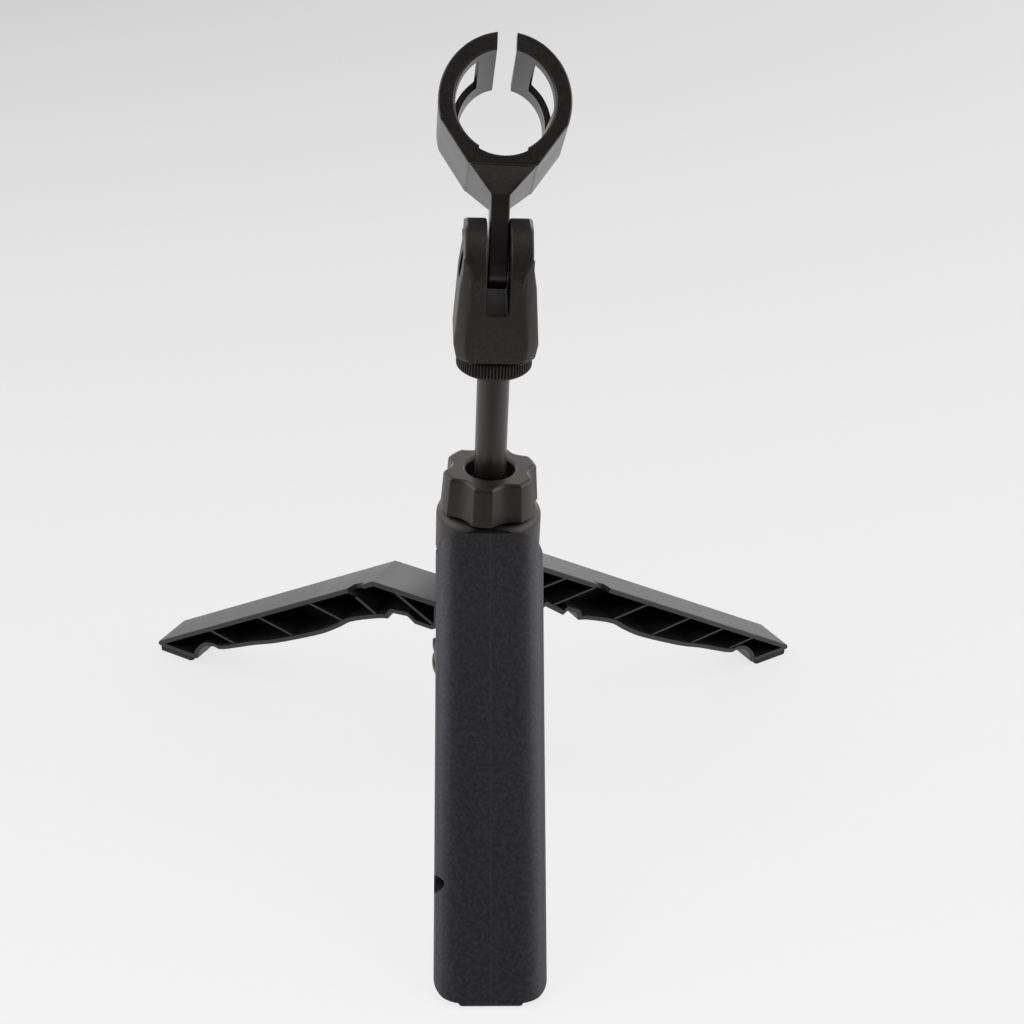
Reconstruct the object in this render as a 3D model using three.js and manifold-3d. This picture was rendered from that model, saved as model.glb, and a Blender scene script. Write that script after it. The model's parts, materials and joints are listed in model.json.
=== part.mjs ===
// Desktop microphone stand: a folding three-legged stand with a telescoping pole,
// a twist-lock knob and a tilting clip. Units are millimetres, +Z is up.
// The origin is on the floor in the middle of the footprint, and the front leg points to -Y.
// The shapes are drawn about the pole's axis and the whole stand is moved back at the end.
import * as THREE from "three";
import * as BufferGeometryUtils from "three/addons/utils/BufferGeometryUtils.js";
import Module from "manifold-3d";

const wasm = await Module();
wasm.setup();

// ---------- driving dimensions ----------
const GAP = 0.3; // clearance between neighbouring solids
const DEG = Math.PI / 180;

const AXIS_Y = 23.67; // from the middle of the footprint back to the pole's axis

// pole and the parts on its axis
const POLE_R = 5.1;
const POLE_WALL = 1.2;
const POLE_BOTTOM = 44;
const POLE_TOP = 151;
const TUBE_R = 6.6;
const TUBE_BOTTOM = 12.5;
const STUD_R = 4;

// hub under the knob
const COLLAR_R = 17;
const COLLAR_BOTTOM = 87.5;
const COLLAR_TOP = 101.3;
const COLUMN_R = 11;
const COLUMN_BOTTOM = 51;
const HUB_STEM_R = 8.8;
const HUB_STEM_TOP = 110;
const HUB_BORE_STEP = 99.5; // the guide tube ends here and the collet sits above
const LOWER_COLLAR = { radius: 17.4, bottom: 36.5, top: 49, chamfer: 1.6 };
const END_CAP = { radius: 15.2, bottom: 11.5, top: 20.5 };

// twist-lock knob
const KNOB = { bottom: 101.7, top: 115.3, radius: 16.3, lobes: 6, flute: 2.3, bore: 6.7, mouth: 8.6 };

// head: knurled ring, clip base and pivot
const RING = { bottom: 151.4, top: 157.4, radius: 11.8, teeth: 36, tooth: 0.35 };
const BASE = { bottom: 157.8, halfWidthBottom: 12.95, halfWidthTop: 10, cornerR: 15.7 };
const PIVOT_Z = 185.2;
const EAR_R = 13.9;
const SLOT_HALF = 3.4;
const SLOT_BOTTOM = 174.7;
const SCREW_R = 1.9;
const RECESS = { radius: 4.1, floor: 7.45 }; // floor: distance from the middle plane
const WASHER = { radius: 3.7, thickness: 0.7 };
const SCREW_HEAD = { radius: 3.5, thickness: 1.9, slotDepth: 0.8, slotHalf: 0.5 };
const NUT = { radius: 3.6, thickness: 2.2 };

// clip, in its own frame: pivot at the origin, stem up +Z, bore along Y
const CLIP_TILT = 36 * DEG; // the stem leans back from the pole by this much
const CLIP_LEAN = 1.6 * DEG; // the clip sits slightly askew in its slot
const CLIP = { centre: 45.3, outer: 19.8, boreFront: 14.8, boreRear: 13.1, half: 17, slit: 5.8 };
const CLIP_STRETCH = 1.055; // the ring is this much taller than it is wide
const CLIP_FLAT = { drop: 19.2, halfWidth: 10.2 }; // the flat under the ring
const CLIP_WINDOW = { front: -12.5, rear: 9, low: -1, high: 13.4, inner: 5.5 };
const CLIP_RIM = { thickness: 5.5, rearR: 15.5 }; // behind its front rim the ring is thinner
const TAB = { halfThickness: 2.9, radius: 7.2, neck: 19.5 };

// legs: splay is measured from the pole, and "cover" is from the hinge out to the leg's face
const FRONT = { splay: 46.2 * DEG, hingeR: 11, hingeZ: 86, cover: 15.1, halfWidth: 17, wall: 2.4, pad: 1.5 };
const REAR = { splay: 58.1 * DEG, hingeR: 12, hingeZ: 55.6, cover: 20.4, halfWidth: 7.9, wall: 2.1, pad: 2.2 };
const REAR_AZIMUTH = 120 * DEG;
const FRONT_TOP = 5.9; // the front leg's upper end, along the leg from its hinge
const FRONT_SIDE_DEPTH = 9;
const FRONT_LUG_R = 4.2;
const REAR_SKIN = 1.7; // thickness of the rear leg's plates, seen from its open side
const REAR_LUG_R = 3.4;
const REAR_NOSE = [[0, -129], [0.4, -130.4], [1.3, -130.9]];
const TONGUE = { radius: 3, halfWidth: 5 }; // the hub's part of a rear hinge
const CHEEK_REACH = 15.2; // the rear leg's near cheek ends at this distance from the pole's axis
const SLIDE_GAP = 0.7; // beside a leg that swings
const PIN_R = 1.3;
const PIN_HOLE_R = PIN_R + 0.1;

// ---------- materials ----------
const plastic = (color, roughness) =>
  new THREE.MeshStandardMaterial({ color, roughness, metalness: 0 });
const metal = (color, roughness) =>
  new THREE.MeshStandardMaterial({ color, roughness, metalness: 1 });

const satinBlack = plastic(0x1b1b1d, 0.45);
const moulded = plastic(0x222224, 0.5);
const darkGrey = plastic(0x2b2b2e, 0.55);
const rubber = plastic(0x101010, 0.9);
const blackTube = metal(0x1c1a1b, 0.35);
const steel = metal(0x8d9094, 0.35);

// ---------- solids ----------
function solid(geometry) {
  const bare = geometry.clone();
  bare.deleteAttribute("normal");
  bare.deleteAttribute("uv");
  const merged = BufferGeometryUtils.mergeVertices(bare, 1e-5);
  return new wasm.Manifold(new wasm.Mesh({
    numProp: 3,
    vertProperties: new Float32Array(merged.attributes.position.array),
    triVerts: new Uint32Array(merged.index.array),
  }));
}

function toGeometry(manifold) {
  const mesh = manifold.getMesh();
  const geometry = new THREE.BufferGeometry();
  geometry.setAttribute("position", new THREE.BufferAttribute(mesh.vertProperties, 3));
  geometry.setIndex(new THREE.BufferAttribute(mesh.triVerts, 1));
  geometry.computeVertexNormals();
  return geometry;
}

// A box from its lowest and highest corners.
function box(low, high) {
  const size = high.map((value, i) => value - low[i]);
  const geometry = new THREE.BoxGeometry(...size);
  geometry.translate(...low.map((value, i) => value + size[i] / 2));
  return solid(geometry);
}

// A turned solid about Z; the profile is a closed list of [radius, z].
function turned(profile, segments = 32) {
  const points = profile.map(([r, z]) => new THREE.Vector2(r, z));
  points.push(points[0].clone());
  const geometry = new THREE.LatheGeometry(points, segments);
  geometry.rotateX(Math.PI / 2);
  return solid(geometry);
}

const tube = (inner, outer, bottom, top, segments = 32) =>
  turned([[inner, bottom], [outer, bottom], [outer, top], [inner, top]], segments);

// A round bar along X.
function barX(radius, x0, x1, y, z, segments = 16) {
  const geometry = new THREE.CylinderGeometry(radius, radius, x1 - x0, segments);
  geometry.rotateZ(Math.PI / 2);
  geometry.translate((x0 + x1) / 2, y, z);
  return solid(geometry);
}

// A bar along Y whose radius may change from y0 to y1, and which may be stretched in height.
function barY(radius0, radius1, y0, y1, x, z, stretch = 1, segments = 40) {
  const geometry = new THREE.CylinderGeometry(radius1, radius0, y1 - y0, segments);
  geometry.scale(1, 1, stretch);
  geometry.translate(x, (y0 + y1) / 2, z);
  return solid(geometry);
}

function shapeOf(outline) {
  return outline instanceof THREE.Shape
    ? outline
    : new THREE.Shape(outline.map(([a, b]) => new THREE.Vector2(a, b)));
}

// An outline in (x, z), extruded along Y from y0 to y1.
function alongY(outline, y0, y1) {
  const geometry = new THREE.ExtrudeGeometry(shapeOf(outline), {
    depth: y1 - y0, bevelEnabled: false, curveSegments: 5,
  });
  geometry.rotateX(Math.PI / 2);
  geometry.translate(0, y1, 0);
  return solid(geometry);
}

// An outline in (y, z), extruded along X from x0 to x1.
function alongX(outline, x0, x1) {
  const geometry = new THREE.ExtrudeGeometry(shapeOf(outline), {
    depth: x1 - x0, bevelEnabled: false, curveSegments: 8,
  });
  geometry.rotateX(Math.PI / 2);
  geometry.rotateZ(Math.PI / 2);
  geometry.translate(x0, 0, 0);
  return solid(geometry);
}

// An outline in (x, y), extruded along Z from z0 to z1.
function alongZ(outline, z0, z1, curveSegments = 8) {
  const geometry = new THREE.ExtrudeGeometry(shapeOf(outline), {
    depth: z1 - z0, bevelEnabled: false, curveSegments,
  });
  geometry.translate(0, 0, z0);
  return solid(geometry);
}

// A rectangle with rounded corners, radii given for its top and bottom pairs.
function roundedRectangle(x0, x1, z0, z1, topR, bottomR) {
  const shape = new THREE.Shape();
  shape.moveTo(x0 + bottomR, z0);
  shape.lineTo(x1 - bottomR, z0);
  shape.absarc(x1 - bottomR, z0 + bottomR, bottomR, -Math.PI / 2, 0);
  shape.lineTo(x1, z1 - topR);
  shape.absarc(x1 - topR, z1 - topR, topR, 0, Math.PI / 2);
  shape.lineTo(x0 + topR, z1);
  shape.absarc(x0 + topR, z1 - topR, topR, Math.PI / 2, Math.PI);
  shape.lineTo(x0, z0 + bottomR);
  shape.absarc(x0 + bottomR, z0 + bottomR, bottomR, Math.PI, Math.PI * 1.5);
  return shape;
}

function mesh(name, manifold, material) {
  const part = new THREE.Mesh(toGeometry(manifold), material);
  part.name = name;
  return part;
}

const stand = new THREE.Group();

// ---------- places on a leg ----------
// A leg is drawn in its own frame: X across it, Y inwards from its outer face, Z up along
// it, with the hinge at (0, cover, 0). It is then leant out by its splay.
const faceR = (leg) => leg.hingeR + leg.cover * Math.cos(leg.splay);
const faceZ = (leg) => leg.hingeZ + leg.cover * Math.sin(leg.splay);

function legFrame(leg, azimuth) {
  const outer = new THREE.Group();
  outer.rotation.z = azimuth;
  const inner = new THREE.Group();
  inner.rotation.x = -leg.splay;
  inner.position.set(0, -faceR(leg), faceZ(leg));
  outer.add(inner);
  stand.add(outer);
  return inner;
}

// The stand's (y, z), before the turn to its azimuth, of the leg-frame point (y, z).
function legWorld(leg, y, z) {
  const cos = Math.cos(leg.splay);
  const sin = Math.sin(leg.splay);
  return [-faceR(leg) + y * cos + z * sin, faceZ(leg) - y * sin + z * cos];
}

// The leg-frame (y, z) of a point at distance r from the pole's axis and height h.
function legPoint(leg, r, h) {
  const cos = Math.cos(leg.splay);
  const sin = Math.sin(leg.splay);
  const dr = r - faceR(leg);
  const dh = h - faceZ(leg);
  return [-dr * cos - dh * sin, -dr * sin + dh * cos];
}

// The leg-frame height, at inward depth y, of the horizontal plane at height h.
function planeHeight(leg, y, h) {
  return (h - faceZ(leg) + y * Math.sin(leg.splay)) / Math.cos(leg.splay);
}

// The level at which a leg's foot is cut, just above its pad.
const footHeight = (leg) => leg.pad + 0.1;

// Everything below a leg's foot, in the leg frame.
function underFoot(leg) {
  const height = footHeight(leg);
  return alongX([
    [-40, planeHeight(leg, -40, height)], [-40, -300],
    [60, -300], [60, planeHeight(leg, 60, height)],
  ], -40, 40);
}

// ---------- hub, guide tube and collars ----------
const HUB_BORE_WALL = TUBE_R + 0.9;
const ROOM_FLOOR = 8;
const ROOM_TOP = 78.5;

// Everything at a rear hinge is drawn on the -Y side and then turned to its azimuth.
function turnedTo(azimuth, manifold) {
  const geometry = toGeometry(manifold);
  geometry.rotateZ(azimuth);
  return solid(geometry);
}

function rearTongue() {
  const root = box(
    [-TONGUE.halfWidth, -REAR.hingeR, REAR.hingeZ - TONGUE.radius],
    [TONGUE.halfWidth, -HUB_BORE_WALL, REAR.hingeZ + TONGUE.radius],
  );
  const end = barX(TONGUE.radius, -TONGUE.halfWidth, TONGUE.halfWidth, -REAR.hingeR, REAR.hingeZ);
  return root.add(end).subtract(barX(PIN_HOLE_R, -30, 30, -REAR.hingeR, REAR.hingeZ));
}

function hubBody() {
  let hub = turned([
    [0, COLUMN_BOTTOM], [COLUMN_R, COLUMN_BOTTOM], [COLUMN_R, COLLAR_BOTTOM],
    [COLLAR_R - 1, COLLAR_BOTTOM], [COLLAR_R, COLLAR_BOTTOM + 1.5], [COLLAR_R, COLLAR_TOP - 2.6],
    [COLLAR_R - 0.5, COLLAR_TOP - 1.2], [COLLAR_R - 1.8, COLLAR_TOP], [HUB_STEM_R, COLLAR_TOP],
    [HUB_STEM_R, HUB_STEM_TOP], [0, HUB_STEM_TOP],
  ], 40);
  // room in the column for each rear leg's root, with the hinge tongue in it
  const reach = REAR.halfWidth + SLIDE_GAP;
  const room = box([-reach, -30, COLUMN_BOTTOM - 1], [reach, -ROOM_FLOOR, ROOM_TOP]);
  for (const side of [-1, 1]) {
    hub = hub.subtract(turnedTo(side * REAR_AZIMUTH, room));
    hub = hub.add(turnedTo(side * REAR_AZIMUTH, rearTongue()));
  }
  // front hinge lug, between the front leg's side walls
  const lugHalf = FRONT.halfWidth - FRONT.wall - SLIDE_GAP;
  hub = hub.add(barX(FRONT_LUG_R, -lugHalf, lugHalf, -FRONT.hingeR, FRONT.hingeZ));
  hub = hub.subtract(barX(PIN_HOLE_R, -30, 30, -FRONT.hingeR, FRONT.hingeZ));
  // room for the round ends of the front leg's side walls
  for (const x of [-FRONT.halfWidth - 1, FRONT.halfWidth - FRONT.wall - SLIDE_GAP]) {
    const x1 = x + FRONT.wall + SLIDE_GAP + 1;
    hub = hub.subtract(box([x, -20, COLLAR_BOTTOM - 1], [x1, -6.2, FRONT.hingeZ + 5.2]));
  }
  // slanted flat behind the front leg's upper end
  const flat = [
    legWorld(FRONT, FRONT.wall + 0.4, -20), legWorld(FRONT, FRONT.wall + 0.4, 30),
    legWorld(FRONT, -20, 30), legWorld(FRONT, -20, -20),
  ];
  hub = hub.subtract(alongX(flat, -COLLAR_R - 1, COLLAR_R + 1));
  // bore for the guide tube below and the collet above
  hub = hub.subtract(tube(0, TUBE_R + GAP, COLUMN_BOTTOM - 1, HUB_BORE_STEP));
  return hub.subtract(tube(0, TUBE_R + 0.7, HUB_BORE_STEP - GAP, HUB_STEM_TOP + 1));
}

const guideTube = tube(POLE_R + GAP, TUBE_R, TUBE_BOTTOM, HUB_BORE_STEP - GAP);

// The collar has a pocket on each side where a folded rear leg nests.
function lowerCollar() {
  const { radius, bottom, top, chamfer } = LOWER_COLLAR;
  let collar = turned([
    [TUBE_R + GAP, bottom], [radius - chamfer, bottom], [radius, bottom + chamfer],
    [radius, top - chamfer], [radius - chamfer, top], [TUBE_R + GAP, top],
  ]);
  const reach = REAR.halfWidth + SLIDE_GAP;
  const pocket = box([-reach, -30, 41], [reach, -9.6, top + 1])
    .add(box([-reach, -30, bottom - 1], [reach, -16.3, top + 1]));
  for (const side of [-1, 1]) {
    collar = collar.subtract(turnedTo(side * REAR_AZIMUTH, pocket));
  }
  return collar;
}

const endCap = turned([
  [TUBE_R + GAP, END_CAP.top], [TUBE_R + GAP, TUBE_BOTTOM - GAP], [POLE_R + 0.5, TUBE_BOTTOM - GAP],
  [POLE_R + 0.5, END_CAP.bottom], [END_CAP.radius - 1.5, END_CAP.bottom],
  [END_CAP.radius, END_CAP.bottom + 2], [END_CAP.radius, END_CAP.top - 1.5],
  [END_CAP.radius - 1.5, END_CAP.top],
]);
const collet = tube(POLE_R + GAP, TUBE_R + 0.4, HUB_BORE_STEP + 0.4, HUB_STEM_TOP - 0.2, 24);

// ---------- twist-lock knob ----------
// The lobed outline: a circle whose radius dips between the lobes.
function lobedOutline(radius, flute, count, pointsPerLobe) {
  const total = count * pointsPerLobe;
  const points = [];
  for (let i = 0; i < total; i += 1) {
    const angle = (i / total) * 2 * Math.PI;
    const wave = Math.abs(Math.sin((count * angle) / 2));
    const r = radius - flute * (1 - wave ** 0.8);
    points.push(new THREE.Vector2(r * Math.cos(angle), r * Math.sin(angle)));
  }
  return new THREE.Shape(points);
}

function lockKnob() {
  let knob = alongZ(lobedOutline(KNOB.radius, KNOB.flute, KNOB.lobes, 8), KNOB.bottom, KNOB.top);
  const taper = turned([
    [0, KNOB.bottom], [KNOB.radius, KNOB.bottom], [KNOB.radius - 0.5, KNOB.top - 1.6],
    [KNOB.radius - 2.2, KNOB.top], [0, KNOB.top],
  ], 48);
  knob = knob.intersect(taper);
  knob = knob.subtract(tube(0, HUB_STEM_R + GAP, KNOB.bottom - 1, HUB_STEM_TOP + 0.5));
  const mouth = turned([
    [0, HUB_STEM_TOP], [KNOB.bore, HUB_STEM_TOP], [KNOB.bore, KNOB.top - 1.8],
    [KNOB.mouth, KNOB.top], [KNOB.mouth, KNOB.top + 1], [0, KNOB.top + 1],
  ]);
  return knob.subtract(mouth);
}

// ---------- pole ----------
const pole = tube(POLE_R - POLE_WALL, POLE_R, POLE_BOTTOM, POLE_TOP);
const poleBush = turned([
  [0, POLE_BOTTOM - 5], [POLE_R + 0.1, POLE_BOTTOM - 5], [POLE_R + 0.1, POLE_BOTTOM - GAP],
  [POLE_R - POLE_WALL - GAP, POLE_BOTTOM - GAP], [POLE_R - POLE_WALL - GAP, POLE_BOTTOM + 6],
  [0, POLE_BOTTOM + 6],
], 24);
const threadedStud = turned([
  [0, POLE_TOP - 12], [POLE_R - POLE_WALL - GAP, POLE_TOP - 12],
  [POLE_R - POLE_WALL - GAP, POLE_TOP + 0.2], [STUD_R, POLE_TOP + 0.2],
  [STUD_R, 166], [STUD_R - 1, 167], [0, 167],
], 24);

// ---------- knurled ring and clip base ----------
function knurledRing() {
  const points = [];
  for (let i = 0; i < RING.teeth * 2; i += 1) {
    const angle = (i / (RING.teeth * 2)) * 2 * Math.PI;
    const r = i % 2 ? RING.radius - RING.tooth : RING.radius;
    points.push(new THREE.Vector2(r * Math.cos(angle), r * Math.sin(angle)));
  }
  const ring = alongZ(new THREE.Shape(points), RING.bottom, RING.top);
  return ring.subtract(tube(0, STUD_R + GAP, RING.bottom - 1, RING.top + 1, 24));
}

function clipBase() {
  const b = BASE;
  const top = PIVOT_Z + EAR_R;
  const frontView = [
    [-b.halfWidthBottom + 1.2, b.bottom], [b.halfWidthBottom - 1.2, b.bottom],
    [b.halfWidthBottom, b.bottom + 1.6], [b.halfWidthBottom, b.bottom + 5],
    [b.halfWidthTop + 1.5, PIVOT_Z - 3], [b.halfWidthTop, PIVOT_Z + 4],
    [b.halfWidthTop - 0.1, top - 2], [b.halfWidthTop - 1, top + 1],
    [-b.halfWidthTop + 1, top + 1], [-b.halfWidthTop + 0.1, top - 2],
    [-b.halfWidthTop, PIVOT_Z + 4], [-b.halfWidthTop - 1.5, PIVOT_Z - 3],
    [-b.halfWidthBottom, b.bottom + 5], [-b.halfWidthBottom, b.bottom + 1.6],
  ];
  const sideView = new THREE.Shape();
  sideView.moveTo(-b.halfWidthBottom + 0.6, b.bottom);
  sideView.lineTo(b.halfWidthBottom - 0.6, b.bottom);
  sideView.lineTo(EAR_R, PIVOT_Z);
  sideView.absarc(0, PIVOT_Z, EAR_R, 0, Math.PI);
  let base = alongY(frontView, -20, 20).intersect(alongX(sideView, -20, 20));
  base = base.intersect(turned([
    [0, b.bottom - 1], [b.halfWidthBottom, b.bottom - 1], [b.halfWidthBottom, b.bottom + 3],
    [b.cornerR, b.bottom + 18], [b.cornerR, top + 1], [0, top + 1],
  ], 40));
  base = base.subtract(box([-SLOT_HALF, -20, SLOT_BOTTOM], [SLOT_HALF, 20, top + 2]));
  base = base.subtract(barX(SCREW_R + GAP, -20, 20, 0, PIVOT_Z, 20));
  base = base.subtract(barX(RECESS.radius, RECESS.floor, 20, 0, PIVOT_Z, 24));
  base = base.subtract(barX(RECESS.radius, -20, -RECESS.floor, 0, PIVOT_Z, 24));
  return base.subtract(tube(0, STUD_R + GAP, b.bottom - 1, 168, 24));
}

function pivotWasher() {
  const x0 = RECESS.floor + 0.1;
  const washer = barX(WASHER.radius, x0, x0 + WASHER.thickness, 0, PIVOT_Z);
  return washer.subtract(barX(SCREW_R + 0.2, x0 - 1, x0 + 2, 0, PIVOT_Z));
}

function pivotScrew() {
  const headX = RECESS.floor + WASHER.thickness + 0.25;
  const endX = headX + SCREW_HEAD.thickness;
  const head = barX(SCREW_HEAD.radius, headX, endX, 0, PIVOT_Z, 24);
  const shank = barX(SCREW_R, -RECESS.floor - NUT.thickness - 0.2, headX + 0.5, 0, PIVOT_Z, 20);
  const slot = box(
    [endX - SCREW_HEAD.slotDepth, -SCREW_HEAD.slotHalf, PIVOT_Z - 5],
    [endX + 1, SCREW_HEAD.slotHalf, PIVOT_Z + 5],
  );
  return head.add(shank).subtract(slot);
}

function pivotNut() {
  const x1 = -RECESS.floor - 0.1;
  const nut = barX(NUT.radius, x1 - NUT.thickness, x1, 0, PIVOT_Z, 6);
  return nut.subtract(barX(SCREW_R + 0.15, -20, 0, 0, PIVOT_Z, 20));
}

// ---------- clip ----------
function micClip() {
  const c = CLIP.centre;
  const { halfWidth: flatHalf } = CLIP_FLAT;
  const flatZ = c - CLIP_FLAT.drop;
  // ring outline: an arc over the top, three flats below
  const outline = new THREE.Shape();
  const flatStart = -18 * DEG;
  outline.absellipse(0, c, CLIP.outer, CLIP.outer * CLIP_STRETCH, flatStart, Math.PI - flatStart);
  outline.lineTo(-flatHalf, flatZ);
  outline.lineTo(flatHalf, flatZ);
  let clip = alongY(outline, -CLIP.half, CLIP.half);
  // gusset below the ring, narrowing to the tab
  const front = [
    [-TAB.halfThickness, TAB.neck], [TAB.halfThickness, TAB.neck], [flatHalf - 0.4, flatZ + 0.2],
    [flatHalf - 0.4, flatZ + 3], [-flatHalf + 0.4, flatZ + 3], [-flatHalf + 0.4, flatZ + 0.2],
  ];
  const side = [
    [-TAB.radius, TAB.neck - 1], [TAB.radius + 1, TAB.neck - 4], [CLIP.half, flatZ],
    [CLIP.half, flatZ + 2], [-CLIP.half + 0.5, flatZ + 2], [-CLIP.half + 0.5, flatZ],
  ];
  clip = clip.add(alongY(front, -CLIP.half, CLIP.half).intersect(alongX(side, -12, 12)));
  const tab = new THREE.Shape();
  tab.absarc(0, 0, TAB.radius, Math.PI, 2 * Math.PI);
  tab.lineTo(TAB.radius, TAB.neck - 4);
  tab.lineTo(CLIP.half - 3, flatZ + 2);
  tab.lineTo(-CLIP.half + 3, flatZ + 2);
  tab.lineTo(-TAB.radius, TAB.neck - 1);
  clip = clip.add(alongX(tab, -TAB.halfThickness, TAB.halfThickness));
  // tapered bore, slit over the top and a window in each side
  const end = CLIP.half + 0.05;
  clip = clip.subtract(barY(CLIP.boreFront, CLIP.boreRear, -end, end, 0, c, CLIP_STRETCH));
  clip = clip.subtract(box([-CLIP.slit / 2, -30, c], [CLIP.slit / 2, 30, c + 30]));
  const { front: y0, rear: y1, low, high, inner } = CLIP_WINDOW;
  const sleeveY = -CLIP.half + CLIP_RIM.thickness;
  const sleeve = barY(30, 30, sleeveY, 30, 0, c)
    .subtract(barY(CLIP_RIM.rearR, CLIP_RIM.rearR, sleeveY - 1, 31, 0, c, CLIP_STRETCH))
    .intersect(box([-31, -30, c + low], [31, 32, c + 40]));
  clip = clip.subtract(sleeve);
  const window = roundedRectangle(y0, y1, c + low, c + high, 1, 1)
    .getPoints(4).map((point) => [point.x, point.y]);
  clip = clip.subtract(alongX(window, -30, -inner)).subtract(alongX(window, inner, 30));
  return clip.subtract(barX(SCREW_R + GAP, -20, 20, 0, 0, 20));
}

// ---------- legs ----------
// The front leg's cross-section: a shallow channel with rounded outer corners.
function frontSection(inset, depth) {
  const w = FRONT.halfWidth - inset;
  const r = 6.2 - inset;
  const shape = new THREE.Shape();
  shape.moveTo(-w, depth);
  shape.lineTo(-w, inset + r);
  shape.absarc(-w + r, inset + r, r, Math.PI, Math.PI * 1.5);
  shape.lineTo(w - r, inset);
  shape.absarc(w - r, inset + r, r, -Math.PI / 2, 0);
  shape.lineTo(w, depth);
  return shape;
}

function frontLeg() {
  const { halfWidth, wall, cover } = FRONT;
  const endZ = planeHeight(FRONT, 0, footHeight(FRONT));
  const depth = FRONT_SIDE_DEPTH;
  let leg = alongZ(frontSection(0, depth), endZ - 14, FRONT_TOP, 3);
  // rounded corners at the leg's two ends, seen square on to its face
  leg = leg.intersect(alongY(
    roundedRectangle(-halfWidth, halfWidth, endZ, FRONT_TOP, 5.4, 7.6), -1, depth + 0.5,
  ));
  // the side walls run in to the hinge
  const lug = alongX([
    [depth - 4, -16], [depth, -16], [cover, -FRONT_LUG_R], [cover, 0.5], [depth, FRONT_TOP - 5.4],
    [depth - 4, FRONT_TOP - 5.4],
  ], -halfWidth, halfWidth);
  leg = leg.add(lug).add(barX(FRONT_LUG_R, -halfWidth, halfWidth, cover, 0));
  leg = leg.subtract(alongZ(frontSection(wall, 60), endZ - 20, FRONT_TOP + 20, 3));
  // cross ribs and a centre rib inside the shell
  const ribs = 6;
  const inside = alongZ(frontSection(0.5, depth), endZ, 0, 3);
  for (let i = 1; i <= ribs; i += 1) {
    const z = (endZ * i) / (ribs + 1) - 4;
    leg = leg.add(box([-halfWidth, 1, z], [halfWidth, depth - 4, z + 1.4]).intersect(inside));
  }
  leg = leg.add(box([-0.8, 1, endZ + 10], [0.8, 4.5, -16]));
  // block at the foot, cut level for the rubber pad
  leg = leg.add(box([-10.5, 1, endZ - 14], [10.5, depth + 0.5, endZ + 9]));
  leg = leg.subtract(underFoot(FRONT));
  // half-oval drain notch in the left wall near the foot
  const notch = new THREE.Shape();
  notch.absellipse(6.4, endZ + 35, 4, 2.7, 0, Math.PI * 2);
  leg = leg.subtract(alongX(notch, -halfWidth - 1, -halfWidth + 5));
  return leg.subtract(barX(PIN_HOLE_R, -30, 30, cover, 0));
}

// The rear leg's underside from the collar notch down to the foot, as leg-frame [y, z].
const REAR_RIM = [
  [14.5, -21.5], [13.4, -26], [12.2, -37], [13.1, -44], [13.8, -54], [12.9, -74], [11.4, -86],
  [9.9, -101.5], [8, -105], [7.2, -108.8], [8.5, -113.2], [10.8, -116.3],
];

// The two rear legs meet the hub at different heights: the left one has a level root under
// a knee, and the right one runs straight up to the hub and has its hinge on a lug.
const LEFT = {
  name: "left",
  side: -1,
  shoulderZ: 62.5,
  root: [legPoint(REAR, 14.5, 51.8), [22.3, -5.9], [18.8, -11.5], [15.4, -13], [13, -18.2]],
  lipNotch: -28.5,
  ribs: [[-105, 1.1], [-79.5, 1.1], [-53.7, 1.1], [-33, 0.58]],
};
const RIGHT = {
  name: "right",
  side: 1,
  shoulderZ: 76.5,
  root: [
    legPoint(REAR, 14.8, 54), legPoint(REAR, 17.2, 58.4), [13.2, -4], [14.4, -13.6],
    [12.5, -14.5], [12.5, -19],
  ],
  lipNotch: -24.5,
  ribs: [[-112.5, 1.33], [-94.7, 1.33], [-75.4, 1.33], [-51.8, 1.33], [-23.7, 1.33]],
};

// Moves each side of a closed outline inwards by the given thickness.
function inset(outline, thickness) {
  const area = THREE.ShapeUtils.area(outline.map(([a, b]) => new THREE.Vector2(a, b)));
  const turn = Math.sign(area) * thickness;
  const count = outline.length;
  const unit = ([a0, b0], [a1, b1]) => {
    const length = Math.hypot(a1 - a0, b1 - b0);
    return [(a1 - a0) / length, (b1 - b0) / length];
  };
  return outline.map((point, i) => {
    const before = unit(outline[(i + count - 1) % count], point);
    const after = unit(point, outline[(i + 1) % count]);
    const share = 1 + before[0] * after[0] + before[1] * after[1];
    return [
      point[0] - (turn * (before[1] + after[1])) / share,
      point[1] + (turn * (before[0] + after[0])) / share,
    ];
  });
}

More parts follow.
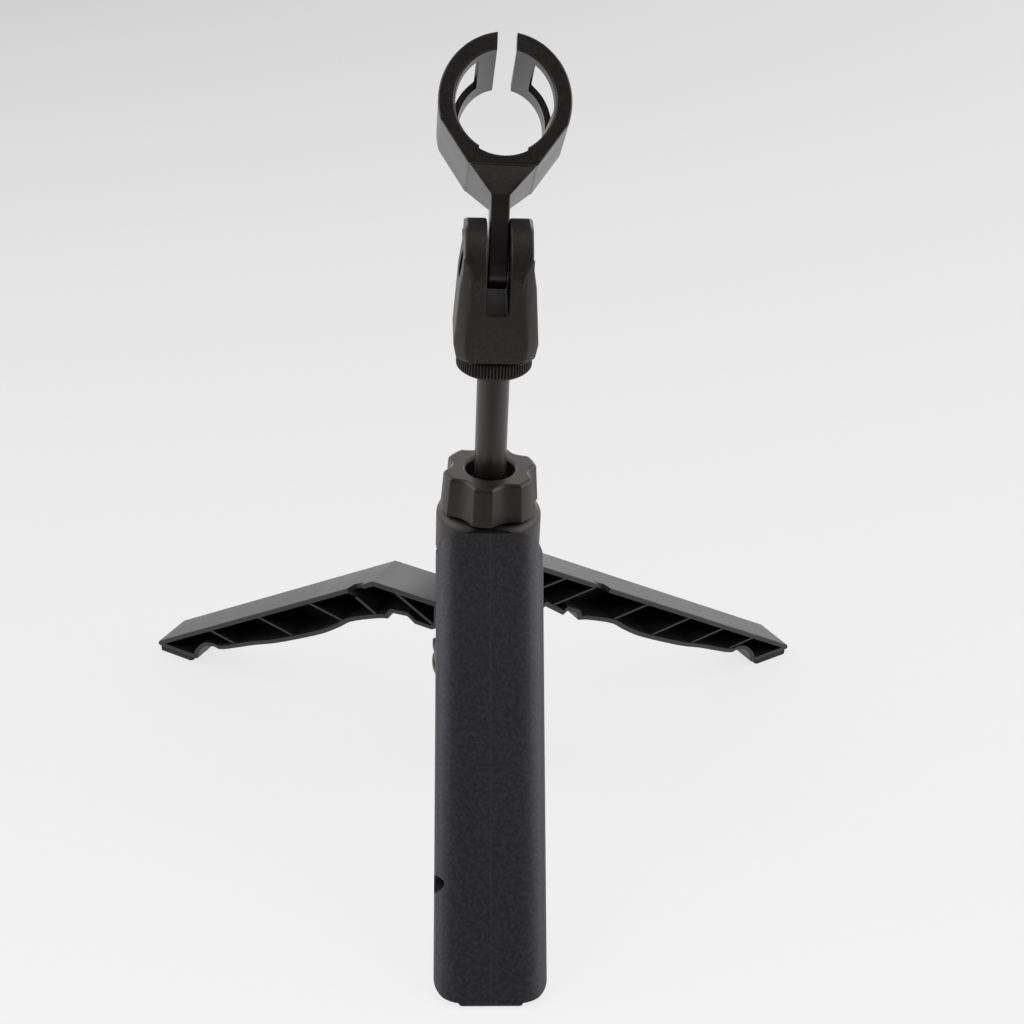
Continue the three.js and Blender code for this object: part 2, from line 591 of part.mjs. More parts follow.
// A channel that is open on the side towards the front leg: a web on the far side, an outer
// face, a wavy flange below and thin slanting ribs between them.
function rearLeg(leg) {
  const { halfWidth, wall, cover, hingeR } = REAR;
  const { side, shoulderZ } = leg;
  const across = (x0, x1) => (side > 0 ? [x0, x1] : [-x1, -x0]);
  const fromHeel = [
    legPoint(REAR, 117.5, footHeight(REAR)), ...REAR_RIM.toReversed(), ...leg.root.toReversed(),
    legPoint(REAR, hingeR - 1.5, REAR.hingeZ), legPoint(REAR, hingeR - 1.5, shoulderZ),
    [0, planeHeight(REAR, 0, shoulderZ)],
  ];
  const outline = [...REAR_NOSE, legPoint(REAR, 132.4, footHeight(REAR)), ...fromHeel];
  let body = alongX(outline, -halfWidth, halfWidth);
  body = body.add(barX(REAR_LUG_R, -halfWidth, halfWidth, cover, 0, 24));
  // hollow, leaving the far web over the whole side and the near cheek beside the hinge
  const hollow = inset([[0, planeHeight(REAR, 0, footHeight(REAR))], ...fromHeel], REAR_SKIN);
  const beyondCheek = alongX([
    legPoint(REAR, CHEEK_REACH, -60), legPoint(REAR, 200, -60), legPoint(REAR, 200, 120),
    legPoint(REAR, CHEEK_REACH, 120),
  ], -20, 20);
  const inner = halfWidth - wall;
  let pocket = alongX(hollow, -inner, inner);
  pocket = pocket.add(alongX(hollow, ...across(-halfWidth - 1, 0)).intersect(beyondCheek));
  // mouth for the hub's tongue
  const mouthR = hingeR + 1.5;
  pocket = pocket.add(alongX([
    legPoint(REAR, 4, 45), legPoint(REAR, mouthR, 45), legPoint(REAR, mouthR, shoulderZ - REAR_SKIN),
    legPoint(REAR, 4, shoulderZ - REAR_SKIN),
  ], -inner, inner)).add(barX(TONGUE.radius + 0.5, -inner, inner, cover, 0, 24));
  body = body.subtract(pocket);
  const ribSpace = alongX(outline, ...across(-halfWidth + 0.3, halfWidth - 1)).intersect(beyondCheek);
  for (const [z, slope] of leg.ribs) {
    const rib = [[0, z], [25, z + 25 * slope], [25, z + 25 * slope + 1.2], [0, z + 1.2]];
    body = body.add(alongX(rib, -halfWidth, halfWidth).intersect(ribSpace));
  }
  // nick in the near edge of the outer face
  const nickZ = leg.lipNotch;
  const nick = [[halfWidth + 1, nickZ - 4], [halfWidth - 2.4, nickZ - 1], [halfWidth - 1.6, nickZ + 4.5],
    [halfWidth + 1, nickZ + 3]].map(([x, z]) => [-side * x, z]);
  body = body.subtract(alongY(nick, -1, 4));
  return body.subtract(barX(PIN_HOLE_R, -30, 30, cover, 0));
}

const hingePin = (leg, halfLength) => barX(PIN_R, -halfLength, halfLength, leg.cover, 0, 16);

// A pad under a foot, drawn level on the floor from radius r0 to r1 on the -Y side.
const footPad = (leg, r0, r1, halfWidth) => box([-halfWidth, -r1, 0], [halfWidth, -r0, leg.pad]);

// ---------- assembly ----------
stand.add(mesh("hub_body", hubBody(), moulded));
stand.add(mesh("guide_tube", guideTube, blackTube));
stand.add(mesh("lower_collar", lowerCollar(), moulded));
stand.add(mesh("tube_end_cap", endCap, moulded));
stand.add(mesh("collet", collet, darkGrey));
stand.add(mesh("lock_knob", lockKnob(), satinBlack));
stand.add(mesh("pole", pole, blackTube));
stand.add(mesh("pole_bush", poleBush, darkGrey));
stand.add(mesh("threaded_stud", threadedStud, steel));
stand.add(mesh("knurled_ring", knurledRing(), satinBlack));
stand.add(mesh("clip_base", clipBase(), satinBlack));
stand.add(mesh("pivot_washer", pivotWasher(), steel));
stand.add(mesh("pivot_screw", pivotScrew(), steel));
stand.add(mesh("pivot_nut", pivotNut(), steel));

const clipMesh = mesh("mic_clip", micClip(), moulded);
clipMesh.position.set(0, 0, PIVOT_Z);
clipMesh.rotation.set(-CLIP_TILT, CLIP_LEAN, 0);
stand.add(clipMesh);

const frontFrame = legFrame(FRONT, 0);
frontFrame.add(mesh("front_leg", frontLeg(), satinBlack));
frontFrame.add(mesh("front_hinge_pin", hingePin(FRONT, FRONT.halfWidth - 0.2), steel));
stand.add(mesh("front_foot_pad", footPad(FRONT, 107, 120.4, 9.6), rubber));

for (const leg of [LEFT, RIGHT]) {
  const azimuth = leg.side * REAR_AZIMUTH;
  const frame = legFrame(REAR, azimuth);
  frame.add(mesh(`${leg.name}_leg`, rearLeg(leg), satinBlack));
  frame.add(mesh(`${leg.name}_hinge_pin`, hingePin(REAR, REAR.halfWidth - 0.1), steel));
  const pad = mesh(`${leg.name}_foot_pad`, footPad(REAR, 118.3, 132.9, 7.5), rubber);
  pad.rotation.z = azimuth;
  stand.add(pad);
}

stand.position.y = AXIS_Y;

export default stand;
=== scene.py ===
# Desktop microphone stand: the looks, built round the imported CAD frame.
# Pieces are drawn in millimetres about the pole's axis, then moved to its place and scaled to metres.
import json
import math
import bmesh
import bpy
from mathutils import Matrix, Vector


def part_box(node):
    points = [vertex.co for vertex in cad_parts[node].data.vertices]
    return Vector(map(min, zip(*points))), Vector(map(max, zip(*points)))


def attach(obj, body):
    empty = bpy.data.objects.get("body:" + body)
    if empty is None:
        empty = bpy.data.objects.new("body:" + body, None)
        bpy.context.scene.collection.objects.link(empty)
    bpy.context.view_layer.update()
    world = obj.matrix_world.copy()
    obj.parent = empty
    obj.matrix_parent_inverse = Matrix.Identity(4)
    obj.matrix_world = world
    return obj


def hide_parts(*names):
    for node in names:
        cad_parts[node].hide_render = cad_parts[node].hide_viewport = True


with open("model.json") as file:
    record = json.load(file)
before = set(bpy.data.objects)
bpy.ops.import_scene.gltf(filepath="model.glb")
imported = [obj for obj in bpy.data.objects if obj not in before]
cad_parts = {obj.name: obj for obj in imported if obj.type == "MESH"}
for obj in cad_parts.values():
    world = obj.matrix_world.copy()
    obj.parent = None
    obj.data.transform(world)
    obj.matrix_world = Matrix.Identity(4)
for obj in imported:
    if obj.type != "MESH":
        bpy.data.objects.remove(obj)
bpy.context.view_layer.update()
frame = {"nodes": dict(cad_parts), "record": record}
MM = 0.001

# ---------- values read from the frame, in millimetres from the pole's axis ----------
joints = {joint["name"]: joint for joint in frame["record"]["behaviour"]["joints"]}
AXIS = Vector((0, joints["knob_turn"]["pos_m"][1], 0)) / MM  # where the pole's axis meets the floor


def box_mm(node):
    low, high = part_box(node)
    return low / MM - AXIS, high / MM - AXIS


def joint_mm(name):
    return Vector(joints[name]["pos_m"]) / MM - AXIS


pole_low, pole_high = box_mm("pole")
tube_low, tube_high = box_mm("guide_tube")
knob_low, knob_high = box_mm("lock_knob")
hub_top = box_mm("hub_body")[1].z
ring_low, ring_high = box_mm("knurled_ring")
base_low, base_high = box_mm("clip_base")
lower_low, lower_high = box_mm("lower_collar")
cap_low, cap_high = box_mm("tube_end_cap")
screw_low, screw_high = box_mm("pivot_screw")
nut_low, nut_high = box_mm("pivot_nut")
washer_low, washer_high = box_mm("pivot_washer")
pivot_z = joint_mm("clip_tilt").z
front_hinge = joint_mm("front_leg_fold")
rear_hinge = joint_mm("right_leg_fold")
pole_r = pole_high.x
tube_r = tube_high.x
knob_r = knob_high.y
ring_r = ring_high.x

# ---------- driving dimensions of the shapes, in millimetres ----------
FIT = 0.3  # gap between a tube or stem and the bore round it
FAR = 30  # a cutter's reach from the pole, past the side of any piece
PAST = 20  # a cutter's reach across the head, the hub or a leg
COLLAR_R = 17.0
COLLAR_BOTTOM = 84.8
COLLAR_TOP = 101.3
COLLAR_FLAT = 14.9  # from the pole's axis to the flat behind the front leg's face
COLUMN_R = 11.0
COLUMN_BOTTOM = 51.0
STEM_R = 8.8
TUBE_SEAT = 99.5
COLLET_ROOM = {"bottom": 99.2, "top": 111, "gap": 0.7}
LEG_ROOM = {"r": 8.0, "top": 78.5}  # cut into the column for a rear leg's root
NEST_TOP = 50
NESTS = [{"r": 9.6, "floor": 41}, {"r": 16.3, "floor": 35}]  # cut into the lower collar for a folded leg
PIN_R = 1.3
PIN_HOLE_R = 1.4
FRONT_LUG_R = 4.2
TONGUE_R = 3.0
TONGUE_HALF = 5.0
REAR_LUG_R = 3.4
SLIDE_GAP = 0.7
STUD_BORE_R = 4.3
PIVOT_BORE_R = 2.2
EAR_R = 13.9
SLOT_HALF = 3.4
SLOT_BOTTOM = 174.7
CLIP_TILT = math.radians(36)
CLIP_LEAN = math.radians(1.6)
FRONT = {"splay": math.radians(46.2), "r": -front_hinge.y, "z": front_hinge.z, "cover": 15.1, "half": 17.0,
         "wall": 2.4, "pad": 1.5}
REAR = {"splay": math.radians(58.1), "r": rear_hinge.xy.length, "z": rear_hinge.z, "cover": 20.4, "half": 7.9,
        "wall": 2.1, "pad": 2.2, "skin": 1.7}
REAR_AZIMUTH = math.radians(120)
FACE_ROLL = {"across": 9.5, "down": 5.6}  # where the front leg's face turns into its sides
FRONT_PAD = {"r0": 107, "r1": 120.4, "half": 9.6}
REAR_PAD = {"r0": 118.3, "r1": 132.9, "half": 7.5}
CHEEK_R = 15.2  # inside this distance from the pole's axis a rear leg keeps both its sides


# ---------- mesh kit ----------
def closed(bm):
    bmesh.ops.remove_doubles(bm, verts=bm.verts, dist=1e-4)
    bmesh.ops.recalc_face_normals(bm, faces=bm.faces)
    return bm


def lathe(profile, segments=128):
    """A turned solid about Z from a closed list of (radius, z)."""
    bm = bmesh.new()
    rings = []
    for radius, z in profile:
        if radius < 1e-6:
            rings.append([bm.verts.new((0, 0, z))])
            continue
        turn = [2 * math.pi * i / segments for i in range(segments)]
        rings.append([bm.verts.new((radius * math.cos(a), radius * math.sin(a), z)) for a in turn])
    for lower, upper in zip(rings, rings[1:] + rings[:1]):
        if len(lower) == 1 and len(upper) == 1:
            continue
        for i in range(segments):
            j = (i + 1) % segments
            corners = [lower[i % len(lower)], lower[j % len(lower)],
                       upper[j % len(upper)], upper[i % len(upper)]]
            unique = list(dict.fromkeys(corners))
            bm.faces.new(unique)
    return closed(bm)


def drill(radius, low, high, segments):
    """A plain turned cutter about Z."""
    return lathe([(0, low), (radius, low), (radius, high), (0, high)], segments)


AXES = {
    "x": lambda u, v, h: (h, u, v),
    "y": lambda u, v, h: (u, h, v),
    "z": lambda u, v, h: (u, v, h),
}


def prism(outline, low, high, axis="z", soft=0.0, soft_segments=3):
    """An outline extruded along an axis; soft rounds the rims of its two ends."""
    bm = bmesh.new()
    place = AXES[axis]
    ends = [[bm.verts.new(place(u, v, h)) for u, v in outline] for h in (low, high)]
    caps = [bm.faces.new(end) for end in ends]
    count = len(outline)
    for i in range(count):
        j = (i + 1) % count
        bm.faces.new((ends[0][i], ends[0][j], ends[1][j], ends[1][i]))
    bmesh.ops.recalc_face_normals(bm, faces=bm.faces)
    if soft:
        rims = list({edge for cap in caps for edge in cap.edges})
        bmesh.ops.bevel(bm, geom=rims, offset=soft, segments=soft_segments, profile=0.5,
                        affect="EDGES", clamp_overlap=True)
    return closed(bm)


def block(low, high):
    return prism([(low[0], low[1]), (high[0], low[1]), (high[0], high[1]), (low[0], high[1])],
                 low[2], high[2])


def circle(radius, u=0.0, v=0.0, count=48, start=0.0, end=2 * math.pi):
    """Points on a circle, or on an arc when start and end are given."""
    full = abs(end - start - 2 * math.pi) < 1e-9
    steps = count if full else count - 1
    return [(u + radius * math.cos(start + (end - start) * i / steps),
             v + radius * math.sin(start + (end - start) * i / steps)) for i in range(count)]


def bar(radius, low, high, axis="x", u=0.0, v=0.0, count=48, soft=0.0):
    return prism(circle(radius, u, v, count), low, high, axis, soft)


def rounded(outline, radii, steps=6):
    """An outline whose corners are replaced by arcs; radii is one number or one per corner."""
    points = [Vector(p) for p in outline]
    count = len(points)
    if not isinstance(radii, (list, tuple)):
        radii = [radii] * count
    result = []
    for i, (corner, radius) in enumerate(zip(points, radii)):
        before = points[i - 1] - corner
        after = points[(i + 1) % count] - corner
        angle = before.angle(after)
        if radius < 1e-6 or angle > math.radians(178):
            result.append(tuple(corner))
            continue
        reach = radius / math.tan(angle / 2)
        reach = min(reach, before.length * 0.49, after.length * 0.49)
        used = reach * math.tan(angle / 2)
        start = corner + before.normalized() * reach
        end = corner + after.normalized() * reach
        centre = corner + (before.normalized() + after.normalized()).normalized() * (
            used / math.sin(angle / 2))
        a0, a1 = start - centre, end - centre
        sweep = a0.angle_signed(a1)
        for k in range(steps + 1):
            turn = Matrix.Rotation(-sweep * k / steps, 2)
            result.append(tuple(centre + turn @ a0))
    return result


def smooth_curve(points, steps=6):
    """A Catmull-Rom curve through the given points."""
    pts = [Vector(p) for p in points]
    result = []
    for i in range(len(pts) - 1):
        p0 = pts[max(i - 1, 0)]
        p1, p2 = pts[i], pts[i + 1]
        p3 = pts[min(i + 2, len(pts) - 1)]
        for k in range(steps):
            t = k / steps
            result.append(tuple(0.5 * ((2 * p1) + (p2 - p0) * t + (2 * p0 - 5 * p1 + 4 * p2 - p3) * t * t
                                       + (3 * p1 - p0 - 3 * p2 + p3) * t ** 3)))
    result.append(tuple(pts[-1]))
    return result


def as_object(bm):
    mesh = bpy.data.meshes.new("work")
    bm.to_mesh(mesh)
    bm.free()
    work = bpy.data.objects.new("work", mesh)
    bpy.context.scene.collection.objects.link(work)
    return work


def baked(work):
    """The object's mesh with its modifiers applied; the object itself is removed."""
    graph = bpy.context.evaluated_depsgraph_get()
    mesh = bpy.data.meshes.new_from_object(work.evaluated_get(graph))
    bpy.data.objects.remove(work)
    return mesh


def cut_and_join(base, steps):
    """Joins to the base, or cuts from it, each solid of steps, in order."""
    work = as_object(base)
    for operation, tool in steps:
        other = as_object(tool)
        modifier = work.modifiers.new("boolean", "BOOLEAN")
        modifier.object = other
        modifier.operation = operation
        modifier.solver = "EXACT"
        bpy.context.view_layer.update()
        mesh = baked(work)
        bpy.data.objects.remove(other)
        work = bpy.data.objects.new("work", mesh)
        bpy.context.scene.collection.objects.link(work)
    mesh = baked(work)
    bm = bmesh.new()
    bm.from_mesh(mesh)
    bpy.data.meshes.remove(mesh)
    return bm


def softened(bm, width, angle=32, segments=2):
    """Rounds every sharp edge by width, after clearing away slivers."""
    bmesh.ops.remove_doubles(bm, verts=bm.verts, dist=0.02)
    bmesh.ops.dissolve_degenerate(bm, edges=bm.edges, dist=0.01)
    bmesh.ops.dissolve_limit(bm, angle_limit=math.radians(0.6), verts=bm.verts, edges=bm.edges)
    sharp = [e for e in bm.edges if len(e.link_faces) == 2
             and e.calc_face_angle(0) > math.radians(angle)]
    bmesh.ops.bevel(bm, geom=sharp, offset=width, offset_type="OFFSET", segments=segments,
                    profile=0.5, affect="EDGES", clamp_overlap=False, miter_outer="ARC")
    bmesh.ops.remove_doubles(bm, verts=bm.verts, dist=0.01)
    return bm


def piece(name, bm, node, body, material, place=Matrix.Identity(4), crease=30):
    """Turns a solid in millimetres into a finished piece that stands for a CAD node."""
    bm.transform(Matrix.Scale(MM, 4) @ Matrix.Translation(AXIS) @ place)
    bmesh.ops.recalc_face_normals(bm, faces=bm.faces)
    mesh = bpy.data.meshes.new(name)
    bm.to_mesh(mesh)
    bm.free()
    mesh.shade_smooth()
    mesh.set_sharp_from_angle(angle=math.radians(crease))
    made = bpy.data.objects.new(name, mesh)
    bpy.context.scene.collection.objects.link(made)
    weighted = made.modifiers.new("weighted", "WEIGHTED_NORMAL")
    weighted.keep_sharp = True
    made.data.materials.append(material)
    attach(made, body)
    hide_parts(node)
    return made


# ---------- materials ----------
class Nodes:
    """A material's node tree with short calls to add and link nodes."""

    def __init__(self, name):
        self.material = bpy.data.materials.new(name)
        self.material.use_nodes = True
        self.tree = self.material.node_tree
        self.tree.nodes.clear()
        self.output = self.tree.nodes.new("ShaderNodeOutputMaterial")
        self.shader = self.tree.nodes.new("ShaderNodeBsdfPrincipled")
        self.link(self.shader, "BSDF", self.output, "Surface")
        self.coordinates = self.tree.nodes.new("ShaderNodeTexCoord")

    def link(self, source, source_socket, target, target_socket):
        self.tree.links.new(source.outputs[source_socket], target.inputs[target_socket])

    def stretched(self, scale):
        mapping = self.tree.nodes.new("ShaderNodeMapping")
        mapping.inputs["Scale"].default_value = scale
        self.link(self.coordinates, "Object", mapping, "Vector")
        return mapping

    def noise(self, scale, detail=3.0, stretch=None):
        texture = self.tree.nodes.new("ShaderNodeTexNoise")
        texture.inputs["Scale"].default_value = scale
        texture.inputs["Detail"].default_value = detail
        if stretch:
            self.link(self.stretched(stretch), "Vector", texture, "Vector")
        else:
            self.link(self.coordinates, "Object", texture, "Vector")
        return texture, "Fac"

    def ramp(self, source, low, high, to_low=0.0, to_high=1.0):
        node = self.tree.nodes.new("ShaderNodeMapRange")
        node.inputs["From Min"].default_value = low
        node.inputs["From Max"].default_value = high
        node.inputs["To Min"].default_value = to_low
        node.inputs["To Max"].default_value = to_high
        self.link(source[0], source[1], node, "Value")
        return node, "Result"

    def math(self, operation, first, second):
        node = self.tree.nodes.new("ShaderNodeMath")
        node.operation = operation
        for index, value in enumerate((first, second)):
            if isinstance(value, tuple):
                self.tree.links.new(value[0].outputs[value[1]], node.inputs[index])
            else:
                node.inputs[index].default_value = value
        return node, "Value"

    def mix(self, factor, first, second):
        node = self.tree.nodes.new("ShaderNodeMix")
        node.data_type = "RGBA"
        self.tree.links.new(factor[0].outputs[factor[1]], node.inputs["Factor"])
        for socket, value in ((6, first), (7, second)):
            if isinstance(value, tuple) and hasattr(value[0], "outputs"):
                self.tree.links.new(value[0].outputs[value[1]], node.inputs[socket])
            else:
                node.inputs[socket].default_value = (*value, 1.0)
        return node, 2

    def colour(self, source):
        self.tree.links.new(source[0].outputs[source[1]], self.shader.inputs["Base Color"])

    def roughness(self, source):
        self.tree.links.new(source[0].outputs[source[1]], self.shader.inputs["Roughness"])

    def bump(self, layers):
        """Chains bumps; each layer is (height, strength, distance in metres)."""
        last = None
        for height, strength, distance in layers:
            node = self.tree.nodes.new("ShaderNodeBump")
            node.inputs["Strength"].default_value = strength
            node.inputs["Distance"].default_value = distance
            self.link(height[0], height[1], node, "Height")
            if last:
                self.link(last, "Normal", node, "Normal")
            last = node
        self.link(last, "Normal", self.shader, "Normal")

    def set(self, **values):
        for name, value in values.items():
            self.shader.inputs[name.replace("_", " ")].default_value = value


def edge_wear(nodes):
    """Broken patches along the sharp edges."""
    geometry = nodes.tree.nodes.new("ShaderNodeNewGeometry")
    breakup = nodes.noise(900, 4)
    edge = nodes.ramp((geometry, "Pointiness"), 0.505, 0.56)
    return nodes.math("MULTIPLY", edge, nodes.ramp(breakup, 0.42, 0.62))


def dust(nodes, scale, size):
    """Small round specks that gather in some places only."""
    specks = nodes.tree.nodes.new("ShaderNodeTexVoronoi")
    specks.inputs["Scale"].default_value = scale
    nodes.link(nodes.coordinates, "Object", specks, "Vector")
    near = nodes.ramp((specks, "Distance"), size, size * 0.4)
    return nodes.math("MULTIPLY", near, nodes.ramp(nodes.noise(scale * 0.21, 1), 0.6, 0.66))


def painted_hollow_shade(nodes, low, high, least):
    """A mask for painted shade in hollows, from ambient occlusion: from the least value deep inside a hollow
    up to one on open faces.
    """
    cavity = nodes.tree.nodes.new("ShaderNodeAmbientOcclusion")
    cavity.samples = 6
    cavity.inputs["Distance"].default_value = 0.012
    return nodes.ramp((cavity, "AO"), low, high, least, 1.0)


def moulded_plastic(name, tone, shine, tint, shade=None, seam=False):
    """Satin black moulded plastic: fine grain, uneven sheen, handling marks, dust and worn edges, and painted
    shade in its hollows when shade is given.
    """
    nodes = Nodes(name)
    cloud = nodes.ramp(nodes.noise(28, 3), 0.3, 0.7)
    darker = tuple(value * 0.95 for value in tone)
    lighter = tuple(value * 1.06 for value in tone)
    base = nodes.mix(cloud, darker, lighter)
    worn = nodes.mix(edge_wear(nodes), base, tuple(value * 1.8 + 0.004 for value in tone))
    surface = nodes.mix(dust(nodes, 190, 0.05), worn, (0.09, 0.088, 0.085))
    layers = [
        (nodes.noise(5200, 2), 0.012, 0.00002),
        (nodes.noise(60, 1), 0.03, 0.0002),
    ]
    if seam:
        split = nodes.tree.nodes.new("ShaderNodeSeparateXYZ")
        nodes.link(nodes.coordinates, "Object", split, "Vector")
        line = nodes.ramp(nodes.math("ABSOLUTE", (split, "X"), 0.0), 0.0001, 0.0003, 1.0, 0.0)
        surface = nodes.mix(nodes.math("MULTIPLY", line, 0.5), surface, (0.040, 0.040, 0.044))
        layers.append((line, 0.25, 0.00005))
    # painted shade: hollows are painted dark, and their specular is turned down there too
    if shade:
        open_face = painted_hollow_shade(nodes, *shade)
        surface = nodes.mix(open_face, (0.014, 0.0115, 0.0095), surface)
        nodes.link(*nodes.math("MULTIPLY", open_face, 0.5), nodes.shader, "Specular IOR Level")
    nodes.colour(surface)
    smear = nodes.ramp(nodes.noise(60, 4, (1, 1, 0.25)), 0.3, 0.7, shine - 0.02, shine + 0.03)
    fine = nodes.ramp(nodes.noise(5000, 2), 0.3, 0.7, -0.004, 0.004)
    nodes.roughness(nodes.math("ADD", smear, fine))
    nodes.bump(layers)
    nodes.set(Specular_Tint=(*tint, 1))
    return nodes.material


def coated_tube(name, tone):
    """Black coated steel tube: smooth, with faint lengthwise draw marks and slide wear."""
    nodes = Nodes(name)
    streaks = nodes.ramp(nodes.noise(700, 4, (1, 1, 0.02)), 0.35, 0.7)
    base = nodes.mix(streaks, tone, tuple(value * 1.35 for value in tone))
    nodes.colour(base)
    nodes.roughness(nodes.ramp(nodes.noise(220, 3, (1, 1, 0.1)), 0.3, 0.7, 0.3, 0.42))
    nodes.bump([(nodes.noise(2600, 2, (1, 1, 0.05)), 0.12, 0.00003)])
    nodes.set(Metallic=0.0, Coat_Weight=0.25, Coat_Roughness=0.25, Specular_Tint=(1.0, 0.93, 0.91, 1))
    return nodes.material


def turned_steel(name):
    """Bright steel with fine turning lines."""
    nodes = Nodes(name)
    lines = nodes.ramp(nodes.noise(1800, 3, (0.05, 1, 1)), 0.3, 0.7)
    nodes.colour(nodes.mix(lines, (0.36, 0.36, 0.37), (0.5, 0.5, 0.5)))
    nodes.roughness(nodes.ramp(nodes.noise(600, 3), 0.3, 0.7, 0.26, 0.42))
    nodes.bump([(lines, 0.2, 0.00003)])
    nodes.set(Metallic=1.0)
    return nodes.material


def matt_rubber(name):
    """Dull black rubber with a coarse, mottled surface."""
    nodes = Nodes(name)
    mottled = nodes.ramp(nodes.noise(300, 4), 0.3, 0.7)
    nodes.colour(nodes.mix(mottled, (0.012, 0.012, 0.012), (0.026, 0.025, 0.024)))
    nodes.roughness(nodes.ramp(nodes.noise(900, 2), 0.3, 0.7, 0.72, 0.9))
    nodes.bump([(nodes.noise(3500, 3), 0.4, 0.00008)])
    return nodes.material


def dull_nylon(name):
    """Dark grey nylon for the hidden bushes."""
    nodes = Nodes(name)
    mottled = nodes.ramp(nodes.noise(200, 3), 0.3, 0.7)
    nodes.colour(nodes.mix(mottled, (0.028, 0.028, 0.029), (0.045, 0.045, 0.046)))
    nodes.roughness(nodes.ramp(nodes.noise(900, 2), 0.3, 0.7, 0.5, 0.62))
    nodes.bump([(nodes.noise(3000, 2), 0.2, 0.00004)])
    return nodes.material


# settings of the painted shade in hollows: the ambient occlusion at which it is deepest, that at which it
# ends, and the share of the plastic's own colour left where it is deepest
leg_shade = (0.0, 0.6, 0.35)
head_shade = (0.45, 0.95, 0.05)
cool = (0.98, 0.95, 1.0)
warm = (1.0, 0.93, 0.90)
leg_plastic = moulded_plastic("leg_plastic", (0.0140, 0.0135, 0.0150), 0.40, cool, leg_shade, seam=True)
hub_plastic = moulded_plastic("hub_plastic", (0.0140, 0.0128, 0.0122), 0.44, warm, leg_shade)
knob_plastic = moulded_plastic("knob_plastic", (0.0160, 0.0138, 0.0130), 0.40, warm, leg_shade)
head_plastic = moulded_plastic("head_plastic", (0.0115, 0.0110, 0.0105), 0.46, warm, head_shade)
clip_plastic = moulded_plastic("clip_plastic", (0.0120, 0.0115, 0.0112), 0.30, warm)
black_tube = coated_tube("black_tube", (0.015, 0.0132, 0.0128))
steel = turned_steel("steel")
rubber = matt_rubber("rubber")
nylon = dull_nylon("nylon")
MATERIALS = {
    "leg_plastic": leg_plastic,
    "moulded_plastic": hub_plastic,
    "satin_plastic": head_plastic,
    "clip_plastic": clip_plastic,
    "black_tube": black_tube,
    "steel": steel,
    "rubber": rubber,
    "dark_nylon": nylon,
}


# ---------- hub, tube and collars ----------
def about_z(bm, angle):
    bm.transform(Matrix.Rotation(angle, 4, "Z"))
    return bm


def rear_tongue(side):
    """The hub's part of a rear hinge, which reaches into the root of the leg."""
    depth, z = rear_hinge.xy.length, rear_hinge.z
    root = 7.5
    tongue = block((-TONGUE_HALF, -depth, z - TONGUE_R), (TONGUE_HALF, -root, z + TONGUE_R))
    steps = [
        ("UNION", bar(TONGUE_R, -TONGUE_HALF, TONGUE_HALF, "x", -depth, z, 48, soft=0.3)),
        ("DIFFERENCE", bar(PIN_HOLE_R, -FAR, FAR, "x", -depth, z, 32)),
    ]
    return about_z(cut_and_join(tongue, steps), side * REAR_AZIMUTH)


def hub_body():
    fillet_r, column_edge, stem_edge = 3.2, 0.8, 0.6
    fillet = circle(fillet_r, COLLAR_R - fillet_r, COLLAR_TOP - fillet_r, 8, 0, math.pi / 2)
    hub = lathe([
        (0, COLUMN_BOTTOM), (COLUMN_R - column_edge, COLUMN_BOTTOM),
        (COLUMN_R, COLUMN_BOTTOM + column_edge),
        (COLUMN_R, COLLAR_BOTTOM), (COLLAR_R - 1.2, COLLAR_BOTTOM), (COLLAR_R - 0.3, COLLAR_BOTTOM + 0.5),
        (COLLAR_R, COLLAR_BOTTOM + 1.4), *fillet, (STEM_R, COLLAR_TOP), (STEM_R, hub_top - stem_edge),
        (STEM_R - stem_edge, hub_top), (0, hub_top),
    ])
    reach = REAR["half"] + SLIDE_GAP
    room = ((-reach, -FAR, COLUMN_BOTTOM - 1), (reach, -LEG_ROOM["r"], LEG_ROOM["top"]))
    steps = [("DIFFERENCE", about_z(block(*room), side * REAR_AZIMUTH)) for side in (-1, 1)]
    steps += [("UNION", rear_tongue(side)) for side in (-1, 1)]
    lug = FRONT["half"] - FRONT["wall"] - SLIDE_GAP
    behind_lug, over_lug = 6.2, FRONT["z"] + 4.6
    for low, high in ((-PAST, -lug), (lug, PAST)):
        steps.append(("DIFFERENCE", block((low, -PAST, COLLAR_BOTTOM - 1), (high, -behind_lug, over_lug))))
    steps += [
        ("UNION", bar(FRONT_LUG_R, -lug, lug, "x", front_hinge.y, front_hinge.z, 40, soft=0.4)),
        ("DIFFERENCE", block((-PAST, -PAST, COLLAR_BOTTOM - 1), (PAST, -COLLAR_FLAT, COLLAR_TOP + 1))),
        ("DIFFERENCE", bar(PIN_HOLE_R, -FAR, FAR, "x", front_hinge.y, front_hinge.z, 32)),
        ("DIFFERENCE", drill(tube_r + FIT, COLUMN_BOTTOM - 1, TUBE_SEAT, 96)),
        ("DIFFERENCE", drill(tube_r + COLLET_ROOM["gap"], COLLET_ROOM["bottom"], COLLET_ROOM["top"], 96)),
    ]
    return piece("hub_shell", cut_and_join(hub, steps), "hub_body", "hub", hub_plastic)


def round_collar(name, node, low, high, bore, groove, pockets):
    """A turned collar with a shallow groove, 2 * groove tall, round its middle."""
    radius, bottom, top = high.x, low.z, high.z
    soft, groove_depth = 1.6, 0.5
    lower = circle(soft, radius - soft, bottom + soft, 8, -math.pi / 2, 0)
    upper = circle(soft, radius - soft, top - soft, 8, 0, math.pi / 2)
    middle = (bottom + top) / 2
    waist = [(radius, middle - groove), (radius - groove_depth, middle - groove + groove_depth),
             (radius - groove_depth, middle + groove - groove_depth), (radius, middle + groove)]
    collar = lathe([(bore, bottom), *lower, *waist, *upper, (bore, top)])
    return piece(name, cut_and_join(collar, pockets), node, "hub", hub_plastic)


